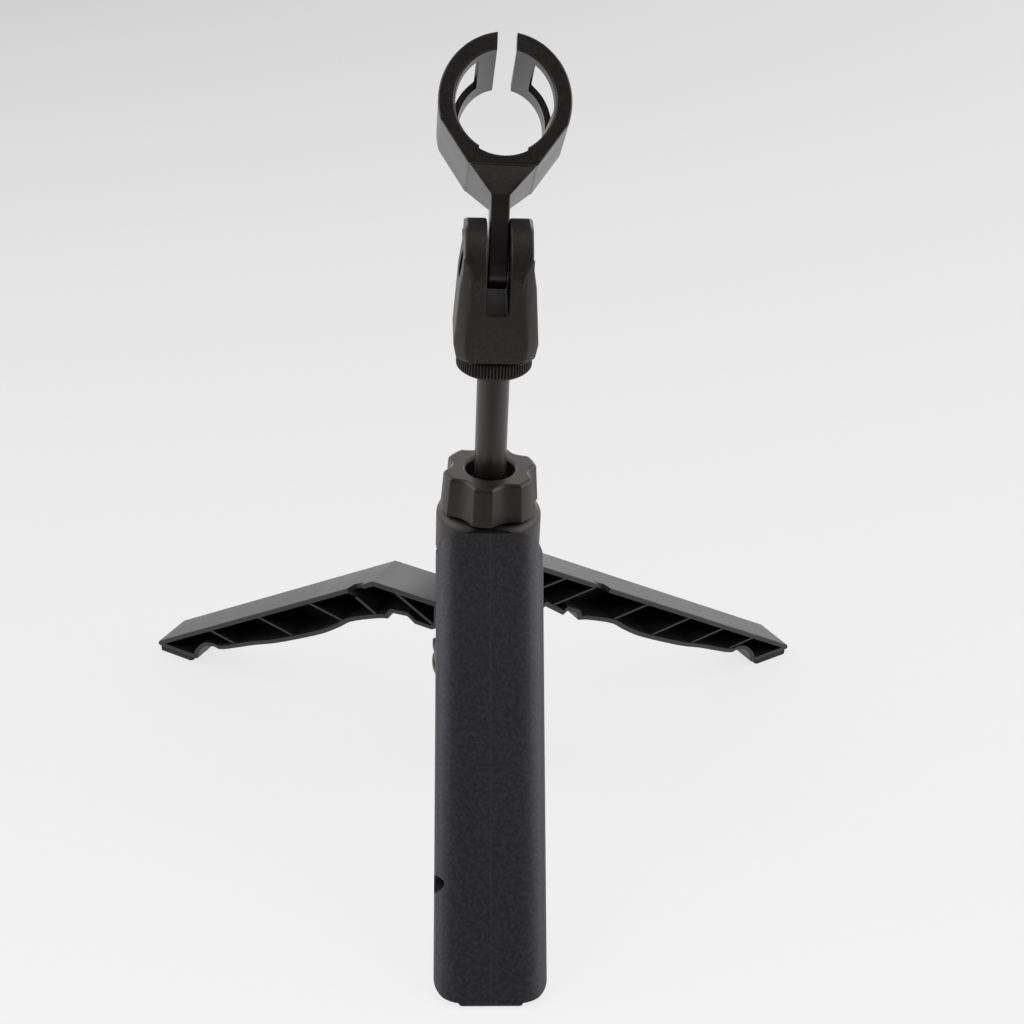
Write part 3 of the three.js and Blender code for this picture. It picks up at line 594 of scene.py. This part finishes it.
def nest_pockets():
    """Cuts in the lower collar where the folded rear legs lie."""
    reach = REAR["half"] + SLIDE_GAP
    cuts = []
    for side in (-1, 1):
        for nest in NESTS:
            pocket = block((-reach, -FAR, nest["floor"]), (reach, -nest["r"], NEST_TOP))
            cuts.append(("DIFFERENCE", about_z(pocket, side * REAR_AZIMUTH)))
    return cuts


def lock_knob():
    """Six ridges with wide scallops between, drawn level by level so that it has draft."""
    bottom, top, radius = knob_low.z, knob_high.z, knob_r - 0.25
    count, per_lobe = 6, 40
    total = count * per_lobe
    ridge = math.radians(-100)
    flat_share = 0.38
    draft, foot, soft, stages = 0.9, 0.5, 1.3, 6
    low_depth, high_depth = 2.1, 2.4
    mouth_r = 7.7

    def scallop(angle, depth):
        phase = abs((((angle - ridge) * count / (2 * math.pi)) + 0.5) % 1 - 0.5) * 2
        dip = min(max((phase - flat_share) / (1 - flat_share), 0), 1)
        return depth * (1 - (1 - dip) ** 2)

    levels = [(bottom, 0.7, low_depth), (bottom + 0.15, 0.25, low_depth), (bottom + foot, 0.0, low_depth)]
    for k in range(1, stages + 1):
        share = k / stages
        levels.append((bottom + foot + (top - bottom - foot - soft) * share, draft * share,
                       low_depth + (high_depth - low_depth) * share))
    for k in range(1, stages + 1):
        turn = k / stages * math.pi / 2
        levels.append((top - soft + soft * math.sin(turn), draft + soft * (1 - math.cos(turn)), high_depth))
    bm = bmesh.new()
    rings = []
    for z, inset, depth in levels:
        ring = []
        for i in range(total):
            angle = 2 * math.pi * i / total
            r = radius - inset - scallop(angle, depth)
            ring.append(bm.verts.new((r * math.cos(angle), r * math.sin(angle), z)))
        rings.append(ring)
    for lower, upper in zip(rings, rings[1:]):
        for i in range(total):
            j = (i + 1) % total
            bm.faces.new((lower[i], lower[j], upper[j], upper[i]))
    bm.faces.new(list(reversed(rings[0])))
    bm.faces.new(rings[-1])
    knob = closed(bm)
    stem = hub_top + FIT
    mouth = [(0, stem - 0.5), (mouth_r, stem - 0.5), (mouth_r, top - 1.2), (mouth_r + 0.4, top - 0.4),
             (mouth_r + 1.0, top), (mouth_r + 1.3, top + 0.6), (0, top + 0.6)]
    steps = [
        ("DIFFERENCE", drill(STEM_R + FIT, bottom - 1, stem, 96)),
        ("DIFFERENCE", lathe(mouth, 96)),
    ]
    return piece("knob_grip", cut_and_join(knob, steps), "lock_knob", "knob", knob_plastic)


# ---------- pole ----------
def pole_tube():
    low, high, wall = pole_low.z, pole_high.z, 1.2
    edge, top_edge = 0.3, 0.4
    profile = [(pole_r - wall, low + edge), (pole_r - wall + edge, low), (pole_r - edge, low),
               (pole_r, low + edge), (pole_r, high - top_edge), (pole_r - top_edge, high),
               (pole_r - wall, high)]
    return piece("pole_tube", lathe(profile, 96), "pole", "pole", black_tube)


def guide():
    low, high = tube_low.z, tube_high.z
    bore, edge = pole_r + FIT, 0.3
    profile = [(bore, low), (tube_r - edge, low), (tube_r, low + edge), (tube_r, high - edge),
               (tube_r - edge, high), (bore, high)]
    return piece("guide_sleeve", lathe(profile, 96), "guide_tube", "hub", black_tube)


# ---------- knurled ring and clip base ----------
def knurled_ring():
    """Fine upright teeth that run out into smooth rims at the top and bottom."""
    bottom, top = ring_low.z, ring_high.z
    teeth, tooth, per_tooth = 72, 0.42, 6
    total = teeth * per_tooth
    bm = bmesh.new()
    # each level's height, how far it lies in from the rim, and its share of the teeth's full depth
    levels = [(bottom, 1.15, 0.0), (bottom + 0.35, 0.6, 0.3), (bottom + 0.8, 0.15, 1.0),
              (bottom + 1.1, 0.0, 1.0), (top - 1.0, 0.0, 1.0), (top - 0.7, 0.15, 1.0),
              (top - 0.3, 0.5, 0.4), (top, 0.9, 0.0)]
    rings = []
    for z, inset, share in levels:
        ring = []
        for i in range(total):
            angle = 2 * math.pi * i / total
            wave = 0.5 - 0.5 * math.cos(2 * math.pi * (i % per_tooth) / per_tooth)
            r = ring_r - inset - tooth * share * (1 - wave) ** 1.5
            ring.append(bm.verts.new((r * math.cos(angle), r * math.sin(angle), z)))
        rings.append(ring)
    for lower, upper in zip(rings, rings[1:]):
        for i in range(total):
            j = (i + 1) % total
            bm.faces.new((lower[i], lower[j], upper[j], upper[i]))
    bm.faces.new(list(reversed(rings[0])))
    bm.faces.new(rings[-1])
    bore = drill(STUD_BORE_R, bottom - 1, top + 1, 64)
    mesh = cut_and_join(closed(bm), [("DIFFERENCE", bore)])
    return piece("ring_knurled", mesh, "knurled_ring", "lock_ring", head_plastic, crease=45)


def clip_base():
    """A fork that narrows upwards, with rounded corners and two ears round the pivot."""
    bottom, top = base_low.z, pivot_z + EAR_R
    wide, narrow = base_high.x, 10.2
    flat_y, corner = 12.3, 15.7
    recess_r, recess = 4.1, washer_low.x - 0.1
    stud_top = 168
    right_side = [(wide - 1.0, bottom), (wide, bottom + 5), (11.5, pivot_z - 3), (narrow, pivot_z + 5),
                  (narrow, top)]
    left_side = [(-x, z) for x, z in reversed(right_side)]
    corner_radii = [1.2, 4, 8, 8, 1.6]
    front_view = rounded([*right_side, *left_side], [*corner_radii, *reversed(corner_radii)])
    side_view = [(-flat_y, bottom), (flat_y, bottom),
                 *circle(EAR_R, 0, pivot_z, 49, 0, math.pi)]
    steps = [
        ("INTERSECT", prism(side_view, -PAST, PAST, "x")),
        ("INTERSECT", lathe([(0, bottom - 1), (14.2, bottom - 1), (14.2, bottom), (15.0, bottom + 1.0),
                             (15.6, bottom + 5), (corner, bottom + 8), (corner, top + 1), (0, top + 1)])),
        ("DIFFERENCE", block((-SLOT_HALF, -PAST, SLOT_BOTTOM), (SLOT_HALF, PAST, top + 2))),
    ]
    body = cut_and_join(prism(front_view, -PAST, PAST, "y"), steps)
    body = softened(body, 0.7, angle=30, segments=3)
    steps = [
        ("DIFFERENCE", bar(PIVOT_BORE_R, -PAST, PAST, "x", 0, pivot_z, 40)),
        ("DIFFERENCE", bar(recess_r, recess, PAST, "x", 0, pivot_z, 48)),
        ("DIFFERENCE", bar(recess_r, -PAST, -recess, "x", 0, pivot_z, 48)),
        ("DIFFERENCE", drill(STUD_BORE_R, bottom - 1, stud_top, 64)),
    ]
    return piece("fork_base", cut_and_join(body, steps), "clip_base", "head", head_plastic)


def pivot_fasteners():
    """The pivot's screw with a cross in its head, its washer and its hexagon nut."""
    z = pivot_z
    washer = cut_and_join(bar(3.7, washer_low.x, washer_high.x, "x", 0, z, 48, soft=0.12),
                          [("DIFFERENCE", bar(2.1, -PAST, PAST, "x", 0, z, 32))])
    piece("screw_washer", washer, "pivot_washer", "screw", steel)
    head = screw_high.x - 1.9
    cross_floor, cross_half, cross_reach, outside = screw_high.x - 0.8, 0.5, 2.2, screw_high.x + 1
    screw = cut_and_join(bar(3.5, head, screw_high.x, "x", 0, z, 48, soft=0.4), [
        ("UNION", bar(1.9, screw_low.x, head + 0.5, "x", 0, z, 32, soft=0.3)),
        ("DIFFERENCE", block((cross_floor, -cross_half, z - 5), (outside, cross_half, z + 5))),
        ("DIFFERENCE", block((cross_floor, -cross_reach, z - cross_half),
                             (outside, cross_reach, z + cross_half))),
    ])
    piece("cross_screw", screw, "pivot_screw", "screw", steel)
    hexagon = circle(nut_high.z - z, 0, z, 6, math.pi / 6, math.pi / 6 + 2 * math.pi)
    nut = cut_and_join(prism(hexagon, nut_low.x, nut_high.x, "x", soft=0.25),
                       [("DIFFERENCE", bar(2.05, -PAST, 0, "x", 0, z, 32))])
    piece("hex_nut", nut, "pivot_nut", "head", steel)


# ---------- clip ----------
def mic_clip():
    """Drawn in the clip's own frame, with the pivot at the origin and the bore along Y."""
    centre, outer, half, slit = 45.3, 19.8, 17.0, 5.8
    bore_front, bore_rear, bore_points = 14.8, 13.1, 112
    thickness, tab_r, neck = 2.9, 7.2, 19.5
    stretch = 1.055
    flat, flat_half, gusset_half = centre - 19.2, 10.2, 10.0
    start = math.radians(-18)
    relief_r, relief_half = 15.7, 7.2
    sleeve_r, rim = 15.5, 5.5
    window_front, window_rear, window_top = 12.5, 9, centre + 13.4

    def tall(points):
        return [(u, centre + (v - centre) * stretch) for u, v in points]

    corner_x, corner_z = outer * math.cos(start), centre + stretch * outer * math.sin(start)
    under = rounded([(-corner_x, corner_z), (-flat_half, flat), (flat_half, flat), (corner_x, corner_z)],
                    [0, 1.2, 1.2, 0])
    outline = [*tall(circle(outer, 0, centre, 65, start, math.pi - start)), *under[1:-1]]
    ring = prism(outline, -half, half, "y", soft=0.7)
    gusset_front = [(-thickness, neck), (thickness, neck), (gusset_half, flat + 0.3), (gusset_half, flat + 3),
                    (-gusset_half, flat + 3), (-gusset_half, flat + 0.3)]
    gusset_side = [(-tab_r, neck - 1), (tab_r + 1, neck - 4), (half - 0.4, flat), (half - 0.4, flat + 2),
                   (-half + 1.2, flat + 2), (-half + 1.2, flat)]
    gusset = cut_and_join(prism(gusset_front, -half, half, "y"),
                          [("INTERSECT", prism(gusset_side, -gusset_half - 2, gusset_half + 2, "x"))])
    tab = [*circle(tab_r, 0, 0, 33, math.pi, 2 * math.pi), (tab_r, neck - 4), (half - 3, flat + 2),
           (-half + 3, flat + 2), (-tab_r, neck - 1)]
    window = rounded([(-window_front, centre - 1), (window_rear, centre - 1), (window_rear, window_top),
                      (-window_front, window_top)], 1.0)
    bore = bmesh.new()
    rings = []
    for radius, y in ((bore_front + 0.8, -half - 0.2), (bore_front, -half + 0.7), (bore_rear, half - 0.6),
                      (bore_rear + 0.6, half + 0.2)):
        rings.append([bore.verts.new((u, y, v)) for u, v in tall(circle(radius, 0, centre, bore_points))])
    for near, far in zip(rings, rings[1:]):
        for i in range(bore_points):
            j = (i + 1) % bore_points
            bore.faces.new((near[i], near[j], far[j], far[i]))
    bore.faces.new(rings[0])
    bore.faces.new(rings[-1])
    lower = prism(tall(circle(relief_r, 0, centre, bore_points)), -half - 1, half - 14, "y")
    keep = block((-relief_half, -half - 2, centre - 20), (relief_half, half, centre - 8))
    relief = cut_and_join(lower, [("INTERSECT", keep)])
    # behind its front rim the upper part of the ring is thinner
    sleeve = cut_and_join(block((-FAR, -half + rim, centre - 1), (FAR, FAR, centre + FAR)), [
        ("DIFFERENCE", prism(tall(circle(sleeve_r, 0, centre, bore_points)), -half, FAR + 1, "y"))])
    steps = [
        ("DIFFERENCE", sleeve),
        ("UNION", gusset),
        ("UNION", prism(tab, -thickness, thickness, "x", soft=0.5)),
        ("DIFFERENCE", closed(bore)),
        ("DIFFERENCE", relief),
        ("DIFFERENCE", block((-slit / 2, -FAR, centre), (slit / 2, FAR, centre + FAR))),
        ("DIFFERENCE", prism(window, -FAR, -8, "x")),
        ("DIFFERENCE", prism(window, 8, FAR, "x")),
        ("DIFFERENCE", bar(PIVOT_BORE_R, -PAST, PAST, "x", 0, 0, 32)),
    ]
    body = cut_and_join(ring, steps)
    place = (Matrix.Translation((0, 0, pivot_z)) @ Matrix.Rotation(-CLIP_TILT, 4, "X")
             @ Matrix.Rotation(CLIP_LEAN, 4, "Y"))
    return piece("clip_jaws", body, "mic_clip", "clip", clip_plastic, place)


# ---------- legs ----------
def leg_place(leg, azimuth):
    r = leg["r"] + leg["cover"] * math.cos(leg["splay"])
    z = leg["z"] + leg["cover"] * math.sin(leg["splay"])
    return (Matrix.Rotation(azimuth, 4, "Z") @ Matrix.Translation((0, -r, z))
            @ Matrix.Rotation(-leg["splay"], 4, "X"))


def leg_point(leg, r, h):
    """The leg-frame (y, z) of a point at distance r from the pole's axis and height h."""
    cos, sin = math.cos(leg["splay"]), math.sin(leg["splay"])
    dr = r - leg["r"] - leg["cover"] * cos
    dh = h - leg["z"] - leg["cover"] * sin
    return (-dr * cos - dh * sin, -dr * sin + dh * cos)


def level_at(leg, y, h):
    """The leg-frame height, at inward depth y, of the horizontal plane at height h."""
    cos, sin = math.cos(leg["splay"]), math.sin(leg["splay"])
    return (h - leg["z"] - leg["cover"] * sin + y * sin) / cos


def foot_height(leg):
    """The level at which a leg's foot is cut, just above its pad."""
    return leg["pad"] + 0.1


def under_floor(leg, h):
    """Everything below the height h, as a cutter in the leg's own frame."""
    near, far, deep = -40, 60, -300
    side_view = [(near, level_at(leg, near, h)), (near, deep), (far, deep), (far, level_at(leg, far, h))]
    return prism(side_view, -40, 40, "x")


def front_section(inset, depth):
    """A shallow channel whose face rolls over softly into its sides."""
    w = FRONT["half"] - inset
    across, down = FACE_ROLL["across"] - inset, FACE_ROLL["down"] - inset
    corner = circle(1, 0, 0, 17, math.pi, 1.5 * math.pi)
    left = [(-w + across + across * u, inset + down + down * v) for u, v in corner]
    right = [(-u, v) for u, v in reversed(left)]
    return [(-w, depth), *left, *right, (w, depth)]


def front_leg():
    """A shallow shell with a pair of lugs at its top, ribs inside and a rubber-footed lower end."""
    half, wall, cover = FRONT["half"], FRONT["wall"], FRONT["cover"]
    top, depth = 5.9, 9.0
    foot = level_at(FRONT, 0, foot_height(FRONT))
    foot_r, top_r, per_corner = 7.6, 6.8, 13
    lug_bottom, lug_top = -16, 0.5
    ribs, rib_wall = 6, 1.4
    drain = {"y": 4.9, "z": foot + 35, "deep": 3.4, "tall": 2.7}
    plan = [*circle(foot_r, half - foot_r, foot + foot_r, per_corner, -math.pi / 2, 0),
            *circle(top_r, half - top_r, top - top_r, per_corner, 0, math.pi / 2),
            *circle(top_r, -half + top_r, top - top_r, per_corner, math.pi / 2, math.pi),
            *circle(foot_r, -half + foot_r, foot + foot_r, per_corner, math.pi, 1.5 * math.pi)]
    shell = cut_and_join(prism(front_section(0, depth), foot - 14, top), [
        ("INTERSECT", prism(plan, -1, depth + 0.5, "y", soft=1.1, soft_segments=4))])
    lug = [(depth - 4, lug_bottom), (depth, lug_bottom), (cover, -FRONT_LUG_R),
           *circle(FRONT_LUG_R, cover, 0, 20, -math.pi / 2, math.pi / 2), (cover, lug_top), (depth, lug_top),
           (depth - 4, lug_top)]
    steps = [("UNION", prism(lug, -half, half, "x", soft=0.3))]
    steps.append(("DIFFERENCE", prism(front_section(wall, 60), foot - 20, top + 20)))
    oval = [(drain["y"] + drain["deep"] * u, drain["z"] + drain["tall"] * v) for u, v in circle(1)]
    for i in range(1, ribs + 1):
        z = foot * i / (ribs + 1) - 4
        rib = cut_and_join(prism(front_section(0.5, depth), z, z + rib_wall),
                           [("INTERSECT", block((-half, -1, z - 1), (half, depth - 4, z + 3)))])
        steps.append(("UNION", rib))
    steps += [
        ("UNION", block((-0.8, 1, foot + 10), (0.8, 5, -14))),
        ("UNION", block((-10.5, 1, foot - 14), (10.5, 9.5, foot + 9))),
        ("DIFFERENCE", under_floor(FRONT, foot_height(FRONT))),
        ("DIFFERENCE", prism(oval, -half - 1, -half + 5, "x")),
        ("UNION", block((-half + 0.2, 8.1, drain["z"] - 4.5), (-half + 5, depth - 0.1, drain["z"] + 4.5))),
        ("DIFFERENCE", bar(PIN_HOLE_R, -FAR, FAR, "x", cover, 0, 32)),
    ]
    return piece("front_leg_shell", cut_and_join(shell, steps), "front_leg", "front_leg",
                 leg_plastic, leg_place(FRONT, 0), crease=35)


# underside from the collar notch down to the foot, in the leg's own (y, z)
REAR_RIM = [(14.5, -21.5), (13.4, -26), (12.2, -37), (13.1, -44), (13.8, -54), (12.9, -74), (11.4, -86),
            (9.9, -101.5), (8, -105), (7.2, -108.8), (8.5, -113.2), (10.8, -116.3)]
REAR_NOSE = [(0, -129), (0.12, -129.8), (0.4, -130.4), (0.8, -130.8), (1.3, -130.9)]
LEFT = {
    "name": "left", "side": -1, "shoulder": 62.5, "nick": -28.5,
    "root": [leg_point(REAR, 14.5, 51.8), (22.3, -5.9), (18.8, -11.5), (15.4, -13), (13, -18.2)],
    "ribs": [(-105, 1.1), (-79.5, 1.1), (-53.7, 1.1), (-33, 0.58), (-17.2, 0.58)],
}
RIGHT = {
    "name": "right", "side": 1, "shoulder": 76.5, "nick": -24.5,
    "root": [leg_point(REAR, 14.8, 54), leg_point(REAR, 17.2, 58.4), (13.2, -4), (14.4, -13.6), (12.5, -14.5),
             (12.5, -19)],
    "ribs": [(-112.5, 1.33), (-94.7, 1.33), (-75.4, 1.33), (-51.8, 1.33), (-23.7, 1.33), (-8.9, 1.33)],
}


def inset(outline, thickness):
    """A closed outline with every side moved inwards by the thickness."""
    pairs = list(zip(outline, [*outline[1:], outline[0]]))
    area = sum(a[0] * b[1] - b[0] * a[1] for a, b in pairs)
    turn = math.copysign(thickness, area)
    sides = [(Vector(b) - Vector(a)).normalized() for a, b in pairs]
    moved = []
    for i, (u, v) in enumerate(outline):
        before, after = sides[i - 1], sides[i]
        share = 1 + before.dot(after)
        moved.append((u - turn * (before.y + after.y) / share, v + turn * (before.x + after.x) / share))
    return moved


def rear_leg(leg):
    """A channel open towards the front leg, with slanting ribs between its face and its wavy flange."""
    half, wall, cover, skin = REAR["half"], REAR["wall"], REAR["cover"], REAR["skin"]
    side, shoulder = leg["side"], leg["shoulder"]
    root_r, heel_r, toe_r = REAR["r"] - 1.5, 117.5, 132.4
    rib_reach, rib_wall = 25, 1.2

    def across(low, high):
        return (low, high) if side > 0 else (-high, -low)

    upper = [*reversed(leg["root"]), leg_point(REAR, root_r, REAR["z"]), leg_point(REAR, root_r, shoulder),
             (0, level_at(REAR, 0, shoulder))]
    level = foot_height(REAR)
    heel = leg_point(REAR, heel_r, level)
    rim = list(reversed(REAR_RIM))
    outline = [*REAR_NOSE, leg_point(REAR, toe_r, level), heel, *smooth_curve(rim), *upper]

    def within(thickness):
        coarse = inset([(0, level_at(REAR, 0, level)), heel, *rim, *upper], thickness)
        return [*coarse[:2], *smooth_curve(coarse[2:2 + len(rim)]), *coarse[2 + len(rim):]]

    hollow, rib_space = within(skin), within(0.6)
    beyond_cheek = [leg_point(REAR, r, h) for r, h in (
        (CHEEK_R, -60), (200, -60), (200, 120), (CHEEK_R, 120))]
    mouth_r = REAR["r"] + 1.5
    mouth = [leg_point(REAR, r, h) for r, h in (
        (4, 45), (mouth_r, 45), (mouth_r, shoulder - skin), (4, shoulder - skin))]
    inner = half - wall
    open_side = cut_and_join(prism(hollow, *across(-half - 1, 0), "x"),
                             [("INTERSECT", prism(beyond_cheek, -PAST, PAST, "x"))])
    steps = [
        ("UNION", bar(REAR_LUG_R, -half, half, "x", cover, 0, 48, soft=0.3)),
        ("DIFFERENCE", prism(hollow, -inner, inner, "x")),
        ("DIFFERENCE", open_side),
        ("DIFFERENCE", prism(mouth, -inner, inner, "x")),
        ("DIFFERENCE", bar(TONGUE_R + 0.5, -inner, inner, "x", cover, 0, 48)),
    ]
    for z, slope in leg["ribs"]:
        far_z = z + rib_reach * slope
        rib = [(0, z), (rib_reach, far_z), (rib_reach, far_z + rib_wall), (0, z + rib_wall)]
        rib_steps = [("INTERSECT", prism(rib_space, *across(-half + 0.4, half - 1), "x")),
                     ("INTERSECT", prism(beyond_cheek, -PAST, PAST, "x"))]
        steps.append(("UNION", cut_and_join(prism(rib, -half, half, "x"), rib_steps)))
    nick = [(-side * x, leg["nick"] + dz) for x, dz in (
        (half + 1, -4), (half - 2.4, -1), (half - 1.6, 4.5), (half + 1, 3))]
    steps += [
        ("DIFFERENCE", prism(nick, -1, 4, "y")),
        ("DIFFERENCE", bar(PIN_HOLE_R, -FAR, FAR, "x", cover, 0, 32)),
    ]
    shell = cut_and_join(prism(outline, -half, half, "x", soft=0.4), steps)
    name = leg["name"]
    return piece(f"{name}_leg_shell", shell, f"{name}_leg", f"{name}_leg", leg_plastic,
                 leg_place(REAR, side * REAR_AZIMUTH), crease=35)


def hinge_pin(name, leg, half, azimuth):
    pin = bar(PIN_R, -half, half, "x", leg["cover"], 0, 32, soft=0.3)
    piece(f"{name}_pin", pin, f"{name}_hinge_pin", "hub", steel, leg_place(leg, azimuth))


def foot_pad(name, leg, size, azimuth):
    """A rubber pad with a soft outline and shallow grooves across its sole."""
    r0, r1, half = size["r0"], size["r1"], size["half"]
    pitch, groove_wall, groove_depth = 2.2, 0.5, 0.35
    outline = rounded([(-half, -r1), (half, -r1), (half, -r0), (-half, -r0)], 1.2)
    pad = prism(outline, 0.0, leg["pad"], soft=0.25)
    steps = []
    groove = r0 + pitch
    while groove < r1 - 1.5:
        steps.append(("DIFFERENCE", block((-half + 1.2, -groove - groove_wall, -1),
                                          (half - 1.2, -groove, groove_depth))))
        groove += pitch
    piece(f"{name}_pad_rubber", cut_and_join(pad, steps), f"{name}_foot_pad", f"{name}_leg", rubber,
          Matrix.Rotation(azimuth, 4, "Z"))


# ---------- assembly ----------
hub_body()
round_collar("collar_lower", "lower_collar", lower_low, lower_high, tube_r + 0.3, 3.0, nest_pockets())
round_collar("cap_bottom", "tube_end_cap", cap_low, cap_high, tube_r + 0.3, 1.6, [])
lock_knob()
pole_tube()
guide()
knurled_ring()
clip_base()
pivot_fasteners()
mic_clip()
front_leg()
hinge_pin("front", FRONT, FRONT["half"] - 0.2, 0)
foot_pad("front", FRONT, FRONT_PAD, 0)
for rear in (LEFT, RIGHT):
    rear_leg(rear)
    hinge_pin(rear["name"], REAR, REAR["half"] - 0.1, rear["side"] * REAR_AZIMUTH)
    foot_pad(rear["name"], REAR, REAR_PAD, rear["side"] * REAR_AZIMUTH)

slots = {entry["node"]: entry["material_slot"] for entry in frame["record"]["subparts"]}
for node_name, node_object in frame["nodes"].items():
    if not node_object.hide_render:
        node_object.data.materials.clear()
        node_object.data.materials.append(MATERIALS[slots[node_name]])


# ---------- floor, light and camera ----------
def pale_floor():
    """Nearly self-lit white paper; its painted glow fades a little towards the back and the left."""
    nodes = Nodes("pale_floor")
    split = nodes.tree.nodes.new("ShaderNodeSeparateXYZ")
    nodes.link(nodes.coordinates, "Object", split, "Vector")
    # painted light: the floor's glow, which keeps shadows on it faint, dims towards the back, and further
    # back it is dimmer on the left and brighter on the right
    back = nodes.ramp((split, "Y"), -0.13, 1.0)
    sideways = nodes.ramp((split, "X"), -0.45, 0.45, -0.05, 0.09)
    falloff = nodes.math("MULTIPLY", back, -0.25)
    lean = nodes.math("MULTIPLY", back, sideways)
    # the glow's base strength, with a faint random unevenness
    paper = nodes.ramp(nodes.noise(220, 3), 0.3, 0.7, 0.795, 0.801)
    lit = nodes.math("ADD", nodes.math("ADD", falloff, lean), paper)
    # the paper is unlit on the camera's side, beyond the bottom of the picture
    glow = nodes.math("MULTIPLY", lit, nodes.ramp((split, "Y"), -0.24, -0.17, 0.2, 1.0))
    nodes.link(*glow, nodes.shader, "Emission Strength")
    nodes.set(Base_Color=(0.12, 0.12, 0.12, 1), Emission_Color=(1, 1, 1, 1), Roughness=0.9,
              Specular_IOR_Level=0.0)
    bm = bmesh.new()
    size = 9.0
    corners = ((-size, -size), (size, -size), (size, size), (-size, size))
    bm.faces.new([bm.verts.new((x, y, 0)) for x, y in corners])
    mesh = bpy.data.meshes.new("floor")
    bm.to_mesh(mesh)
    bm.free()
    mesh.materials.append(nodes.material)
    floor = bpy.data.objects.new("floor", mesh)
    bpy.context.scene.collection.objects.link(floor)


def softbox(name, place, target, size, power):
    light = bpy.data.lights.new(name, "AREA")
    light.shape = "RECTANGLE"
    light.size, light.size_y = size
    light.energy = power
    lamp = bpy.data.objects.new(name, light)
    lamp.location = place
    lamp.rotation_euler = (Vector(target) - Vector(place)).to_track_quat("-Z", "Y").to_euler()
    bpy.context.scene.collection.objects.link(lamp)


def studio():
    world = bpy.data.worlds.new("studio")
    world.use_nodes = True
    tree = world.node_tree
    background = tree.nodes["Background"]
    coordinates = tree.nodes.new("ShaderNodeTexCoord")
    split = tree.nodes.new("ShaderNodeSeparateXYZ")
    tree.links.new(coordinates.outputs["Generated"], split.inputs["Vector"])
    product = tree.nodes.new("ShaderNodeMath")
    product.operation = "MULTIPLY"
    # the room is dark behind the camera and bright beyond the stand, and brightest low down
    ranges = (("Y", -0.75, 0.35, 0.16, 1.0), ("Z", 0.1, 0.42, 1.9, 0.7))
    for index, (axis, low, high, at_low, at_high) in enumerate(ranges):
        fade = tree.nodes.new("ShaderNodeMapRange")
        fade.inputs["From Min"].default_value = low
        fade.inputs["From Max"].default_value = high
        fade.inputs["To Min"].default_value = at_low
        fade.inputs["To Max"].default_value = at_high
        tree.links.new(split.outputs[axis], fade.inputs["Value"])
        tree.links.new(fade.outputs["Result"], product.inputs[index])
    tree.links.new(product.outputs["Value"], background.inputs["Strength"])
    background.inputs["Color"].default_value = (1.0, 0.995, 1.0, 1)
    bpy.context.scene.world = world
    stand = (0, 0, 0.1)
    softbox("left_box", (-0.9, 0.1, 0.7), stand, (0.9, 0.9), 4.5)
    softbox("right_box", (0.9, 0.0, 0.6), stand, (0.9, 0.9), 4.5)
    softbox("back_box", (0.1, 1.4, 0.35), stand, (1.6, 0.4), 3)
    bpy.context.scene.view_settings.view_transform = "Standard"


def camera():
    """Looks down on the stand from in front and a little to its left."""
    data = bpy.data.cameras.new("camera")
    data.sensor_width = 36
    data.lens = 64.6
    data.clip_start = 0.01
    made = bpy.data.objects.new("camera", data)
    heading, pitch, roll = math.radians(3.68), math.radians(31.12), math.radians(2.49)
    level = math.cos(pitch)
    forward = Vector((math.sin(heading) * level, math.cos(heading) * level, -math.sin(pitch)))
    made.location = Vector((-0.02518, -0.50994, 0.40701)) + AXIS * MM
    made.rotation_mode = "QUATERNION"
    upright = forward.to_track_quat("-Z", "Y")
    made.rotation_quaternion = Matrix.Rotation(-roll, 3, forward).to_quaternion() @ upright
    bpy.context.scene.collection.objects.link(made)
    bpy.context.scene.camera = made


pale_floor()
studio()
camera()
